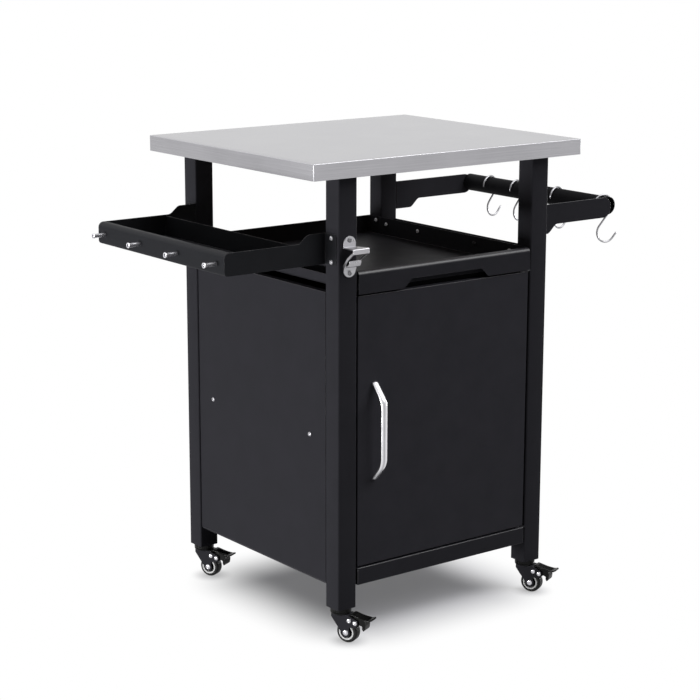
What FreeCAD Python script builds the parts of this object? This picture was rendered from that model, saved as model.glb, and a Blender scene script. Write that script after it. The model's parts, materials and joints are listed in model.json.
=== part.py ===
import FreeCAD, Part
import math
import os
import Sketcher

# Grill cart with storage: a steel clad top on four square posts, a tray and a
# cupboard between them, a rack on the left and a rail with hooks on the right.
# +X runs right along the door, the door faces -Y and +Z is up. The origin lies
# on the floor, midway between the four posts.

vector = FreeCAD.Vector
upright = vector(0, 0, 1)

# driving sizes in millimetres and degrees: name, value, meaning
driving = [
    ("overSide", 64, "top past the posts, left and right"),
    ("overFront", 16.5, "top past the posts, front and back"),
    ("tableHigh", 867, "upper face of the top above the floor"),
    ("skirtDrop", 29, "height of the folded skirt"),
    ("skinSheet", 1, "stainless sheet of the top"),
    ("skinReturn", 16, "width of the skirt's return under the board"),
    ("frameWidth", 482, "over the posts, along X"),
    ("frameDepth", 484, "over the posts, along Y"),
    ("postWidth", 40, "post tube, along X"),
    ("postDepth", 38, "post tube, along Y"),
    ("postWall", 1.5, "post tube wall"),
    ("postRound", 2.4, "outer corner of the post tube"),
    ("postFoot", 63, "lower end of the posts above the floor"),
    ("padSheet", 3.5, "plate on top of each post"),
    ("padOver", 13, "how far that plate runs past the post on each side"),
    ("steelSheet", 1.2, "folded steel sheet"),
    ("panelSheet", 1, "sheet of the cupboard panels"),
    ("seatGap", 0.3, "clearance between separate pieces"),
    ("trayFloor", 638, "upper face of the tray floor"),
    ("trayRim", 672, "top of the tray walls"),
    ("apronLow", 631.5, "lower edge of the tray's front apron"),
    ("apronProud", 2, "apron in front of the post faces"),
    ("apronGap", 3, "gap from apron and lip to the posts"),
    ("lipThick", 17, "rolled front edge of the tray, front to back"),
    ("lipRound", 8.3, "outer radius of that roll"),
    ("notchWide", 195, "notch in the apron, at its lower edge"),
    ("notchTop", 162, "notch in the apron, at its upper edge"),
    ("notchHigh", 15.5, "height of the notch"),
    ("railTop", 666, "top of the side channels"),
    ("railHigh", 14, "height of their outer leg"),
    ("railInset", 3.5, "outer leg behind the post faces"),
    ("railScrewEnd", 19, "outer channel screws from the posts"),
    ("railScrewMiddle", 85, "inner channel screws from the middle"),
    ("panelInset", 2, "side and back panels behind the post faces"),
    ("panelGap", 2.5, "gap from panels to the posts"),
    ("panelTop", 634.4, "top of the panels"),
    ("panelLow", 105.8, "lower edge of the panels"),
    ("panelFold", 15, "depth of the panels' returns"),
    ("cupFloor", 134.6, "upper face of the cupboard floor"),
    ("cupLip", 31.2, "height of its folded front"),
    ("cupProud", 0.5, "folded front before the post faces"),
    ("shelfTop", 381, "upper face of the inner shelf"),
    ("shelfFold", 22, "height of the inner shelf's returns"),
    ("shelfScrewY", 155, "inner shelf screws from the middle"),
    ("shelfScrewZ", 370.5, "inner shelf screws above the floor"),
    ("doorGap", 3.3, "gap round the door"),
    ("doorInset", 1.7, "door face behind the post faces"),
    ("doorThick", 15, "depth of the door pan"),
    ("doorTop", 627.5, "top of the door"),
    ("hingeInset", 11.1, "hinge axis from the right posts' inner face"),
    ("hingeBack", 7.2, "hinge axis behind the post faces"),
    ("hingePin", 2.5, "hinge pin radius"),
    ("pinPlay", 0.1, "radial clearance of pins"),
    ("collarOver", 1.2, "welded collar round the hinge pin"),
    ("collarHigh", 3, "height of that collar"),
    ("leafSheet", 1.6, "hinge bracket sheet"),
    ("leafReach", 12, "bracket leaf past the hinge axis"),
    ("legHigh", 30, "bracket leg on the post"),
    ("stopLow", 609, "lower edge of the door stop rail"),
    ("stopInset", 18, "door stop rail behind the post faces"),
    ("stopFlange", 24, "depth of the rail's upper flange"),
    ("catchWide", 40, "magnet catch, along X"),
    ("catchHigh", 14, "magnet catch height"),
    ("catchFromPost", 21, "magnet catch from the left post"),
    ("catchLow", 610, "lower edge of the magnet catch"),
    ("strikeSheet", 1, "steel strike plate on the door"),
    ("gripLeft", 39.5, "door handle from the left post"),
    ("gripMiddle", 383, "middle of the door handle"),
    ("gripSpan", 173, "distance between its ends"),
    ("gripFlat", 114, "length of its straight part"),
    ("gripOut", 29.5, "handle in front of the door, bar middle"),
    ("gripWide", 11, "handle bar, along X"),
    ("gripThick", 8, "handle bar, front to back"),
    ("gripBevel", 2, "bevel along the handle bar"),
    ("gripFoot", 3, "straight run of the handle bar at the door"),
    ("gripFootBend", 4.5, "bend there, to the bar's middle"),
    ("gripBend", 14, "bends beside the straight part, to the bar's middle"),
    ("rackReach", 209, "rack from the posts, along X"),
    ("rackTray", 144, "width of the rack's tray"),
    ("rackDrop", 182, "lower edge of rack and handle brackets below the top"),
    ("rackHigh", 39.5, "height of the rack's outer wall"),
    ("rackRound", 10, "upper bend of the outer wall"),
    ("rackHeel", 6.5, "lower bend of the outer wall"),
    ("rackRoll", 14, "width of the rolled edge"),
    ("flangeHigh", 54, "height of the flange on the post"),
    ("flangeWide", 33, "width of the flange on the post"),
    ("flangeRound", 7, "corner of the flange"),
    ("flangeScrewLow", 5.4, "lower flange screw above the flange edge"),
    ("flangeScrewStep", 41.5, "distance between flange screws"),
    ("stepNear", 38, "end of the high part of the arm, from the post"),
    ("stepFar", 56, "end of the slope, from the post"),
    ("stepRound", 12, "corners at both ends of the slope"),
    ("pegEnd", 22.5, "outer pegs from the ends of the rack's wall"),
    ("pegHigh", 19, "pegs above the rack's lower edge"),
    ("pegRadius", 3.8, "peg radius"),
    ("pegLong", 26, "peg length"),
    ("pegFlare", 4.8, "radius of the peg's tip"),
    ("pegRim", 2.5, "length of that tip"),
    ("pegBore", 2.6, "radius of the hollow in the tip"),
    ("pegDeep", 7, "depth of that hollow"),
    ("armSheet", 1.5, "sheet of the handle arms"),
    ("armDrop", 126, "top of the handle arms below the top"),
    ("armReach", 199, "handle arms from the posts"),
    ("armHigh", 39, "height of the arms' outer part"),
    ("barRadius", 17, "handle bar radius"),
    ("barWall", 1.5, "handle bar wall"),
    ("barOut", 194, "bar axis from the posts"),
    ("barDrop", 17, "bar axis below the arms' top"),
    ("wireRadius", 1.8, "hook wire radius"),
    ("hookBend", 20, "hook's upper bend, to the wire's middle"),
    ("hookStart", 182, "angle at which the upper bend starts, from +X"),
    ("hookSweep", 180, "angle that the lower bend goes round"),
    ("hookLean", 42, "hook's straight run, from upright"),
    ("hookRun", 25.5, "length of the straight run"),
    ("hookLower", 18, "lower bend, to the wire's middle"),
    ("hookTip", 16, "straight tip after the lower bend"),
    ("hookTurn", 8, "hook turned round the upright"),
    ("bigHookLean", 40, "the front hook is larger: its run, from upright"),
    ("bigHookRun", 35, "length of its run"),
    ("bigHookLower", 19.7, "its lower bend"),
    ("bigHookTip", 14, "its tip"),
    ("bigHookTurn", -12, "its turn round the upright"),
    ("hookFront", 15, "first hook from the bar's front end"),
    ("hookMiddle", 59.5, "second and third hook from the middle"),
    ("hookBack", 64, "last hook from the bar's back end"),
    ("screwHead", 4.2, "screw head radius"),
    ("screwRise", 2.4, "screw head height"),
    ("screwShank", 2.3, "screw shank radius"),
    ("screwLong", 7, "screw length under its head"),
    ("screwPlay", 0.1, "radial clearance of a screw hole"),
    ("openerShift", 2.5, "bottle opener from the middle of its post, inwards"),
    ("openerDrop", 202.3, "lower end of the bottle opener below the top"),
    ("openerTall", 71.3, "bottle opener height"),
    ("openerTab", 26, "width of its two tabs"),
    ("openerWide", 35, "width of its hood"),
    ("openerOut", 35, "hood in front of the post"),
    ("openerBrow", 54.3, "top of its hood above that end"),
    ("openerLip", 9.5, "height of the hood's lip"),
    ("openerSheet", 2, "bottle opener thickness"),
    ("openerStrap", 2.2, "width of the two straps beside the mouth"),
    ("openerScrew", 7, "opener screws from its two ends"),
    ("capRadius", 19, "round cap of the caster"),
    ("capHigh", 10, "height of that cap"),
    ("stemRadius", 5, "caster stem"),
    ("stemLong", 22, "stem in its socket"),
    ("stemHead", 8, "head that holds the fork on the stem"),
    ("stemHeadHigh", 3, "height of that head"),
    ("socketHigh", 26, "socket in the post"),
    ("wheelRadius", 20, "caster wheel"),
    ("wheelWide", 18, "caster tyre width"),
    ("wheelTrail", 16, "wheel behind the swivel axis"),
    ("hubRadius", 14.5, "hub under the tyre"),
    ("hubProud", 0.8, "hub past the tyre on each side"),
    ("axleRadius", 3, "wheel axle"),
    ("forkInside", 21, "room between the fork cheeks"),
    ("forkSheet", 2, "fork sheet"),
    ("forkBoss", 8, "radius of the fork's cheeks at the axle"),
    ("pedalX", 34.5, "pedal pivot behind the swivel axis"),
    ("pedalZ", 40.5, "pedal pivot above the floor"),
    ("rivetX", 22.5, "spacer rivet behind the swivel axis"),
    ("rivetZ", 43.3, "spacer rivet above the floor"),
    ("rivetRadius", 2, "caster rivets"),
    ("casterTurn", 295, "direction in which the wheels trail, from +X"),
]


class Term:
    """A size that keeps its expression text beside its number."""

    def __init__(self, text, value):
        self.text = text
        self.value = value

    def __add__(self, other):
        other = term(other)
        return Term(f"({self.text} + {other.text})", self.value + other.value)

    def __sub__(self, other):
        other = term(other)
        return Term(f"({self.text} - {other.text})", self.value - other.value)

    def __mul__(self, other):
        other = term(other)
        return Term(f"{self.text} * {other.text}", self.value * other.value)

    def __truediv__(self, other):
        other = term(other)
        return Term(f"{self.text} / {other.text}", self.value / other.value)

    def __neg__(self):
        return Term(f"(-1 * {self.text})", -self.value)

    def __radd__(self, other):
        return term(other) + self

    def __rsub__(self, other):
        return term(other) - self

    def __rmul__(self, other):
        return term(other) * self


def term(number):
    """A plain number as a size, so that both can be mixed."""
    if isinstance(number, Term):
        return number
    return Term(f"({number})", float(number))


class Sizes:
    """The sheet's cells, one attribute for each alias."""


doc = FreeCAD.newDocument("GrillCart")
sheet = doc.addObject("Spreadsheet::Sheet", "Sizes")
size = Sizes()
for row, (alias, value, meaning) in enumerate(driving, start=1):
    sheet.set(f"A{row}", alias)
    sheet.set(f"B{row}", str(value))
    sheet.set(f"C{row}", meaning)
    sheet.setAlias(f"B{row}", alias)
    setattr(size, alias, Term(f"Sizes.{alias}", float(value)))
doc.recompute()

pieces = []

# places that several pieces share
post_inner_x = size.frameWidth / 2 - size.postWidth
post_inner_y = size.frameDepth / 2 - size.postDepth
post_middle_x = size.frameWidth / 2 - size.postWidth / 2
post_middle_y = size.frameDepth / 2 - size.postDepth / 2
board_low = size.tableHigh - size.skirtDrop + size.skinSheet
post_top = board_low - size.padSheet
front = -size.frameDepth / 2
lip_front = front - size.apronProud
lip_back = lip_front + size.lipThick
door_front = front + size.doorInset
door_back = door_front + size.doorThick
door_low = size.cupFloor + size.doorGap
door_side = post_inner_x - size.doorGap
hinge_x = post_inner_x - size.hingeInset
hinge_y = front + size.hingeBack
panel_in_x = size.frameWidth / 2 - size.panelInset - size.panelSheet
panel_in_y = size.frameDepth / 2 - size.panelInset - size.panelSheet
rail_screw_z = size.railTop - size.railHigh / 2
tray_screw_y = post_middle_y - 5
tray_screw_z = size.trayRim - 8
rack_low = size.tableHigh - size.rackDrop
arm_top = size.tableHigh - size.armDrop
opener_low = size.tableHigh - size.openerDrop
flange_screws = [
    rack_low + size.flangeScrewLow,
    rack_low + size.flangeScrewLow + size.flangeScrewStep,
]
rail_ends = post_inner_y - size.railScrewEnd
rail_screws = [-rail_ends, -size.railScrewMiddle, size.railScrewMiddle, rail_ends]
opener_x = size.openerShift - post_middle_x
opener_top = opener_low + size.openerTall
opener_screws = [opener_low + size.openerScrew, opener_top - size.openerScrew]
pad_screw_x = size.postWidth / 2 + size.padOver / 2
grip_x = -post_inner_x + size.gripLeft
grip_ends = [size.gripMiddle - size.gripSpan / 2, size.gripMiddle + size.gripSpan / 2]
pegs_y = [(post_inner_y - size.pegEnd) * way for way in (-1, -1 / 3, 1 / 3, 1)]
peg_z = rack_low + size.pegHigh
bar_x = size.frameWidth / 2 + size.barOut
bar_z = arm_top - size.barDrop
hooks_y = [
    size.hookFront - post_inner_y, -size.hookMiddle, size.hookMiddle,
    post_inner_y - size.hookBack,
]
# a screw's six sided shank clears its six sided hole however the two are turned
hole_radius = size.screwShank / math.cos(math.radians(30)) + size.screwPlay


def bind(piece, prop, amount):
    """Set a property to a size and keep it tied to the sheet."""
    amount = term(amount)
    piece.setExpression(prop, amount.text)


def new_body(label):
    body = doc.addObject("PartDesign::Body", label)
    body.Label = label
    pieces.append(body)
    return body


def new_sketch(body, role, level, shift=None):
    """A sketch flat on one of the body's own planes, at a level along its normal."""
    plane = next(f for f in body.Origin.OriginFeatures if f.Role == role)
    sketch = body.newObject("Sketcher::SketchObject", body.Label + "_sketch")
    sketch.AttachmentSupport = [(plane, "")]
    sketch.MapMode = "FlatFace"
    level = term(level)
    shift = term(shift or 0)
    sketch.AttachmentOffset = FreeCAD.Placement(
        vector(shift.value, 0, level.value), FreeCAD.Rotation()
    )
    bind(sketch, "AttachmentOffset.Base.z", level)
    if shift.value:
        bind(sketch, "AttachmentOffset.Base.x", shift)
    return sketch


def draw_outline(sketch, corners):
    """A closed outline of straight lines, each corner held by two sizes."""
    corners = [(term(x), term(y)) for x, y in corners]
    first = sketch.GeometryCount
    count = len(corners)
    for here, there in zip(corners, corners[1:] + corners[:1]):
        start = vector(here[0].value, here[1].value, 0)
        end = vector(there[0].value, there[1].value, 0)
        sketch.addGeometry(Part.LineSegment(start, end), False)
    for step in range(count):
        follower = first + (step + 1) % count
        sketch.addConstraint(Sketcher.Constraint("Coincident", first + step, 2, follower, 1))
    for step, corner in enumerate(corners):
        for kind, place in zip(("DistanceX", "DistanceY"), corner):
            rule = Sketcher.Constraint(kind, -1, 1, first + step, 1, place.value)
            number = sketch.addConstraint(rule)
            bind(sketch, f"Constraints[{number}]", place)


def draw_circle(sketch, x, y, radius):
    x, y, radius = term(x), term(y), term(radius)
    ring = Part.Circle(vector(x.value, y.value, 0), upright, radius.value)
    line = sketch.addGeometry(ring, False)
    for kind, place in (("DistanceX", x), ("DistanceY", y)):
        number = sketch.addConstraint(Sketcher.Constraint(kind, -1, 1, line, 3, place.value))
        bind(sketch, f"Constraints[{number}]", place)
    number = sketch.addConstraint(Sketcher.Constraint("Radius", line, radius.value))
    bind(sketch, f"Constraints[{number}]", radius)


def ring_outline(x, y, radius, sides):
    """A regular outline for what repeats often, with its first corner to the right."""
    turns = [2 * math.pi * n / sides for n in range(sides)]
    return [(x + radius * math.cos(turn), y + radius * math.sin(turn)) for turn in turns]


def hole_outline(x, y):
    """Screw hole of six flat sides, which the screw's head covers."""
    return ring_outline(x, y, hole_radius, 6)


def box_outline(left, right, low, high):
    return [(left, low), (right, low), (right, high), (left, high)]


def extrude(body, kind, role, low, high, outlines, circles):
    """Pad or pocket between two levels, measured along the plane's world axis."""
    start = -term(high) if role == "XZ_Plane" else low
    sketch = new_sketch(body, role, start)
    for corners in outlines:
        draw_outline(sketch, corners)
    for x, y, radius in circles:
        draw_circle(sketch, x, y, radius)
    feature = body.newObject(kind, body.Label + "_" + kind.split("::")[1].lower())
    feature.Profile = sketch
    bind(feature, "Length", term(high) - term(low))
    return feature


def pad(body, role, low, high, outlines=(), circles=()):
    return extrude(body, "PartDesign::Pad", role, low, high, outlines, circles)


def pocket(body, role, low, high, outlines=(), circles=()):
    """Cut towards the plane's normal and make sure that something was cut."""
    doc.recompute()
    before = body.Tip.Shape.Volume
    feature = extrude(body, "PartDesign::Pocket", role, low, high, outlines, circles)
    feature.Reversed = True
    doc.recompute()
    if feature.Shape.Volume >= before:
        raise ValueError(f"a pocket of {body.Label} cuts nothing")
    return feature


def round_edges(body, radius, wanted):
    """Fillet the edges of the body's last feature that the test picks."""
    doc.recompute()
    base = body.Tip
    names = [f"Edge{n}" for n, edge in enumerate(base.Shape.Edges, start=1) if wanted(edge)]
    if not names:
        raise ValueError(f"no edge to round on {body.Label}")
    fillet = body.newObject("PartDesign::Fillet", body.Label + "_fillet")
    fillet.Base = (base, names)
    bind(fillet, "Radius", radius)
    doc.recompute()
    return fillet


def edge_along(axis, places=None):
    """Test for straight edges along an axis, near any of some places (x, y, z)."""

    def wanted(edge):
        if edge.Curve.TypeId != "Part::GeomLine":
            return False
        run = edge.Vertexes[-1].Point - edge.Vertexes[0].Point
        others = [abs(run[i]) for i in range(3) if i != axis]
        if max(others) > 1e-6:
            return False
        if places is None:
            return True
        middle = edge.CenterOfMass
        for place in places:
            gaps = [abs(middle[i] - term(p).value) for i, p in enumerate(place) if p is not None]
            if max(gaps) < 0.05:
                return True
        return False

    return wanted


def move_to(piece, x, y, z):
    for axis, amount in zip("xyz", (x, y, z)):
        bind(piece, f"Placement.Base.{axis}", amount)


def group(label, members):
    """Separate solids that share one node."""
    node = doc.addObject("Part::Compound", label)
    node.Label = label
    node.Links = members
    pieces.append(node)
    return node


def cylinder(name, radius, height, low=0):
    rod = doc.addObject("Part::Cylinder", name)
    bind(rod, "Radius", radius)
    bind(rod, "Height", height)
    bind(rod, "Placement.Base.z", low)
    return rod


def prism(name, sides, radius, height, low=0):
    rod = doc.addObject("Part::Prism", name)
    rod.Polygon = sides
    bind(rod, "Circumradius", radius)
    bind(rod, "Height", height)
    bind(rod, "Placement.Base.z", low)
    return rod


def fuse(name, base, tool):
    joined = doc.addObject("Part::Fuse", name)
    joined.Base = base
    joined.Tool = tool
    return joined


def cut(name, base, tool):
    left = doc.addObject("Part::Cut", name)
    left.Base = base
    left.Tool = tool
    return left


def screw(name, x, y, z, outward):
    """A pan head screw whose head stands outward from the place given."""
    head = prism(name + "_head", 12, size.screwHead, size.screwRise)
    shank = prism(name + "_shank", 6, size.screwShank, size.screwLong, -size.screwLong)
    whole = fuse(name, head, shank)
    whole.Placement = FreeCAD.Placement(vector(), FreeCAD.Rotation(upright, vector(*outward)))
    move_to(whole, x, y, z)
    return whole


def make_tabletop():
    """Folded stainless skin with a skirt, over a board that carries the screws."""
    half_x = size.frameWidth / 2 + size.overSide
    half_y = size.frameDepth / 2 + size.overFront
    low = size.tableHigh - size.skirtDrop
    skin = new_body("tabletop_skin")
    pad(skin, "XY_Plane", low, size.tableHigh, [box_outline(-half_x, half_x, -half_y, half_y)])
    inner_x = half_x - size.skinSheet
    inner_y = half_y - size.skinSheet
    pocket(skin, "XY_Plane", board_low, size.tableHigh - size.skinSheet,
           [box_outline(-inner_x, inner_x, -inner_y, inner_y)])
    open_x = half_x - size.skinReturn
    open_y = half_y - size.skinReturn
    pocket(skin, "XY_Plane", low, board_low, [box_outline(-open_x, open_x, -open_y, open_y)])
    corners = [(x * half_x, y * half_y, None) for x in (-1, 1) for y in (-1, 1)]
    round_edges(skin, size.skinSheet * 1.6, edge_along(2, corners))
    board = new_body("tabletop_board")
    board_x = inner_x - size.seatGap
    board_y = inner_y - size.seatGap
    pad(board, "XY_Plane", board_low, size.tableHigh - size.skinSheet - size.seatGap,
        [box_outline(-board_x, board_x, -board_y, board_y)])
    holes = [hole_outline(x, y) for x, y in pad_screw_places()]
    pocket(board, "XY_Plane", board_low, board_low + size.screwLong, holes)


def pad_screw_places():
    return [
        (side * post_middle_x + way * pad_screw_x, face * post_middle_y)
        for side in (-1, 1) for face in (-1, 1) for way in (-1, 1)
    ]


def make_tabletop_screws():
    members = [
        screw(f"top_screw_{n}", x, y, post_top, (0, 0, -1))
        for n, (x, y) in enumerate(pad_screw_places())
    ]
    group("tabletop_screws", members)


def make_post(label, side, face):
    """Square tube with its welded top plate, built about its own middle."""
    post = new_body(label)
    half_x = size.postWidth / 2
    half_y = size.postDepth / 2
    bore_x = half_x - size.postWall
    bore_y = half_y - size.postWall
    pad(post, "XY_Plane", size.postFoot, post_top, [box_outline(-half_x, half_x, -half_y, half_y)])
    round_edges(post, size.postRound, edge_along(2))
    pocket(post, "XY_Plane", size.postFoot, post_top,
           [box_outline(-bore_x, bore_x, -bore_y, bore_y)])
    plate_x = half_x + size.padOver
    plate = pad(post, "XY_Plane", post_top, board_low,
                [box_outline(-plate_x, plate_x, -half_y, half_y),
                 hole_outline(-pad_screw_x, 0), hole_outline(pad_screw_x, 0)])
    plate.Refine = False
    # bracket screws enter the outer face, the tray's screw the inner one
    outer = [half_x - size.postWall - 1, half_x]
    flanges = [hole_outline(0, z) for z in flange_screws]
    tray = [hole_outline(face * (tray_screw_y - post_middle_y), tray_screw_z)]
    for way, holes in ((side, flanges), (-side, tray)):
        low, high = (outer[0], outer[1]) if way > 0 else (-outer[1], -outer[0])
        pocket(post, "YZ_Plane", low, high, holes)
    if label == "post_front_left":
        pocket(post, "XZ_Plane", -half_y, -half_y + size.postWall + 1,
               [hole_outline(size.openerShift, z) for z in opener_screws])
    move_to(post, side * post_middle_x, face * post_middle_y, 0)


def make_posts():
    for face, row in ((-1, "front"), (1, "back")):
        for side, name in ((-1, "left"), (1, "right")):
            make_post(f"post_{row}_{name}", side, face)


def make_tray():
    """Open tray between the posts, with a rolled front edge that drops to an apron."""
    tray = new_body("middle_tray")
    floor_low = size.trayFloor - size.steelSheet
    back = size.frameDepth / 2
    section = [
        (lip_back, floor_low), (back, floor_low), (back, size.trayRim),
        (back - size.steelSheet, size.trayRim), (back - size.steelSheet, size.trayFloor),
        (lip_back, size.trayFloor),
    ]
    pad(tray, "YZ_Plane", -post_inner_x, post_inner_x, [section])
    wall = box_outline(lip_front + size.apronProud + 2, back, floor_low, size.trayRim)
    pad(tray, "YZ_Plane", -post_inner_x, -post_inner_x + size.steelSheet, [wall])
    pad(tray, "YZ_Plane", post_inner_x - size.steelSheet, post_inner_x, [wall])
    roll_x = post_inner_x - size.apronGap
    leaf = size.steelSheet
    rolled = [
        (lip_front, size.apronLow), (lip_front, size.trayRim),
        (lip_back, size.trayRim), (lip_back, floor_low),
        (lip_back - leaf, floor_low), (lip_back - leaf, size.trayRim - leaf),
        (lip_front + leaf, size.trayRim - leaf), (lip_front + leaf, size.apronLow),
    ]
    pad(tray, "YZ_Plane", -roll_x, roll_x, [rolled])
    crown = [(None, lip_front, size.trayRim), (None, lip_back, size.trayRim)]
    round_edges(tray, size.lipRound, edge_along(0, crown))
    hollow = [
        (None, lip_front + leaf, size.trayRim - leaf),
        (None, lip_back - leaf, size.trayRim - leaf),
    ]
    round_edges(tray, size.lipRound - size.steelSheet, edge_along(0, hollow))
    half_wide = size.notchWide / 2
    half_top = size.notchTop / 2
    ceiling = size.apronLow + size.notchHigh
    notch = [
        (-half_wide, size.apronLow - 1), (half_wide, size.apronLow - 1),
        (half_wide, size.apronLow), (half_top, ceiling),
        (-half_top, ceiling), (-half_wide, size.apronLow),
    ]
    pocket(tray, "XZ_Plane", lip_front - 1, lip_front + leaf + 1, [notch])
    holes = [hole_outline(y, rail_screw_z) for y in rail_screws]
    holes += [hole_outline(way * tray_screw_y, tray_screw_z) for way in (-1, 1)]
    pocket(tray, "YZ_Plane", -post_inner_x - 1, post_inner_x + 1, holes)


def make_side_rail(label, side):
    """Channel between a front and a back post, open upwards, beside the tray."""
    rail = new_body(label)
    near = post_inner_x
    far = size.frameWidth / 2 - size.railInset
    low = size.railTop - size.railHigh
    leaf = size.steelSheet
    inner_top = size.railTop + 2
    section = [
        (side * near, low), (side * far, low), (side * far, size.railTop),
        (side * (far - leaf), size.railTop), (side * (far - leaf), low + leaf),
        (side * (near + leaf), low + leaf), (side * (near + leaf), inner_top),
        (side * near, inner_top),
    ]
    reach = post_inner_y - size.seatGap
    pad(rail, "XZ_Plane", -reach, reach, [section])
    low_x, high_x = sorted((side * near, side * (near + leaf)), key=lambda place: place.value)
    pocket(rail, "YZ_Plane", low_x, high_x, [hole_outline(y, rail_screw_z) for y in rail_screws])


def make_stop_rail():
    """Angle behind the door's top edge: it stops the door and holds the catch."""
    rail = new_body("door_stop_rail")
    face = front + size.stopInset
    top = size.trayFloor - size.steelSheet - size.seatGap
    leaf = size.steelSheet
    section = [
        (face, size.stopLow), (face + leaf, size.stopLow), (face + leaf, top - leaf),
        (face + size.stopFlange, top - leaf), (face + size.stopFlange, top), (face, top),
    ]
    right = hinge_x - size.leafReach - size.seatGap
    pad(rail, "YZ_Plane", -post_inner_x + size.seatGap, right, [section])


def make_side_panel(label, side):
    """Folded side panel of the cupboard, open at its lower edge."""
    panel = new_body(label)
    outer = size.frameWidth / 2 - size.panelInset
    inner = outer - size.panelFold
    half_y = post_inner_y - size.panelGap
    leaf = size.panelSheet
    levels = sorted((side * inner, side * outer), key=lambda place: place.value)
    pad(panel, "YZ_Plane", *levels, [box_outline(-half_y, half_y, size.panelLow, size.panelTop)])
    levels = sorted((side * inner, side * (outer - leaf)), key=lambda place: place.value)
    hollow = box_outline(-half_y + leaf, half_y - leaf, size.panelLow, size.panelTop - leaf)
    pocket(panel, "YZ_Plane", *levels, [hollow])
    levels = sorted((side * (outer - leaf), side * outer), key=lambda place: place.value)
    holes = [hole_outline(way * size.shelfScrewY, size.shelfScrewZ) for way in (-1, 1)]
    pocket(panel, "YZ_Plane", *levels, holes)


def make_back_panel():
    panel = new_body("back_panel")
    outer = size.frameDepth / 2 - size.panelInset
    inner = outer - size.panelFold
    half_x = post_inner_x - size.panelGap
    leaf = size.panelSheet
    pad(panel, "XZ_Plane", inner, outer, [box_outline(-half_x, half_x, size.panelLow, size.panelTop)])
    hollow = box_outline(-half_x + leaf, half_x - leaf, size.panelLow, size.panelTop - leaf)
    pocket(panel, "XZ_Plane", inner, outer - leaf, [hollow])


def cross_outline(wide, wide_y, front_x, front_y, back_x, back_y):
    """Outline of a sheet cut out round the four posts."""
    return [
        (-front_x, front_y), (front_x, front_y), (front_x, -wide_y), (wide, -wide_y),
        (wide, wide_y), (back_x, wide_y), (back_x, back_y), (-back_x, back_y),
        (-back_x, wide_y), (-wide, wide_y), (-wide, -wide_y), (-front_x, -wide_y),
    ]


def make_bottom_panel():
    """Cupboard floor: a pan cut out round the posts, its front edge in view."""
    panel = new_body("bottom_panel")
    wide = panel_in_x
    wide_y = post_inner_y - size.panelGap - size.panelSheet - size.seatGap
    front_x = post_inner_x - size.apronGap
    back_x = post_inner_x - size.panelGap - size.panelSheet - size.seatGap
    front_y = front - size.cupProud
    back_y = panel_in_y
    low = size.cupFloor - size.cupLip
    leaf = size.steelSheet
    pad(panel, "XY_Plane", low, size.cupFloor,
        [cross_outline(wide, wide_y, front_x, front_y, back_x, back_y)])
    hollow = cross_outline(wide - leaf, wide_y - leaf, front_x - leaf, front_y + leaf,
                           back_x - leaf, back_y - leaf)
    pocket(panel, "XY_Plane", low, size.cupFloor - leaf, [hollow])


def make_inner_shelf():
    shelf = new_body("inner_shelf")
    half_x = panel_in_x
    half_y = post_inner_y - size.panelGap - size.panelSheet - size.seatGap
    low = size.shelfTop - size.shelfFold
    leaf = size.steelSheet
    pad(shelf, "XY_Plane", low, size.shelfTop, [box_outline(-half_x, half_x, -half_y, half_y)])
    hollow = box_outline(-half_x + leaf, half_x - leaf, -half_y + leaf, half_y - leaf)
    pocket(shelf, "XY_Plane", low, size.shelfTop - leaf, [hollow])
    holes = [hole_outline(way * size.shelfScrewY, size.shelfScrewZ) for way in (-1, 1)]
    pocket(shelf, "YZ_Plane", -half_x - 1, half_x + 1, holes)


def make_hinge_bracket(label, leaf_low, upward):
    """Angle on the right front post whose leaf takes the door's pin."""
    bracket = new_body(label)
    leaf = size.leafSheet
    left = hinge_x - size.leafReach
    rear = -post_inner_y - 2
    pad(bracket, "XY_Plane", leaf_low, leaf_low + leaf,
        [box_outline(left, post_inner_x, front, rear)],
        [(hinge_x, hinge_y, size.hingePin + size.pinPlay)])
    leg_front = door_back + 3
    low, high = leaf_low, leaf_low + size.legHigh
    if not upward:
        low, high = leaf_low + leaf - size.legHigh, leaf_low + leaf
    pad(bracket, "XY_Plane", low, high,
        [box_outline(post_inner_x - leaf, post_inner_x, leg_front, rear)])


def make_catch():
    """Magnet catch on the stop rail and its strike plate on the door."""
    left = -post_inner_x + size.catchFromPost
    strike_face = door_front + size.steelSheet + size.strikeSheet
    catch = new_body("magnet_catch")
    pad(catch, "XZ_Plane", strike_face + size.seatGap, front + size.stopInset,
        [box_outline(left, left + size.catchWide, size.catchLow, size.catchLow + size.catchHigh)])
    strike = new_body("strike_plate")
    margin = 4
    pad(strike, "XZ_Plane", door_front + size.steelSheet, strike_face,
        [box_outline(left + margin, left + size.catchWide - margin,
                     size.catchLow - 1, size.catchLow + size.catchHigh + 1)])


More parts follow.
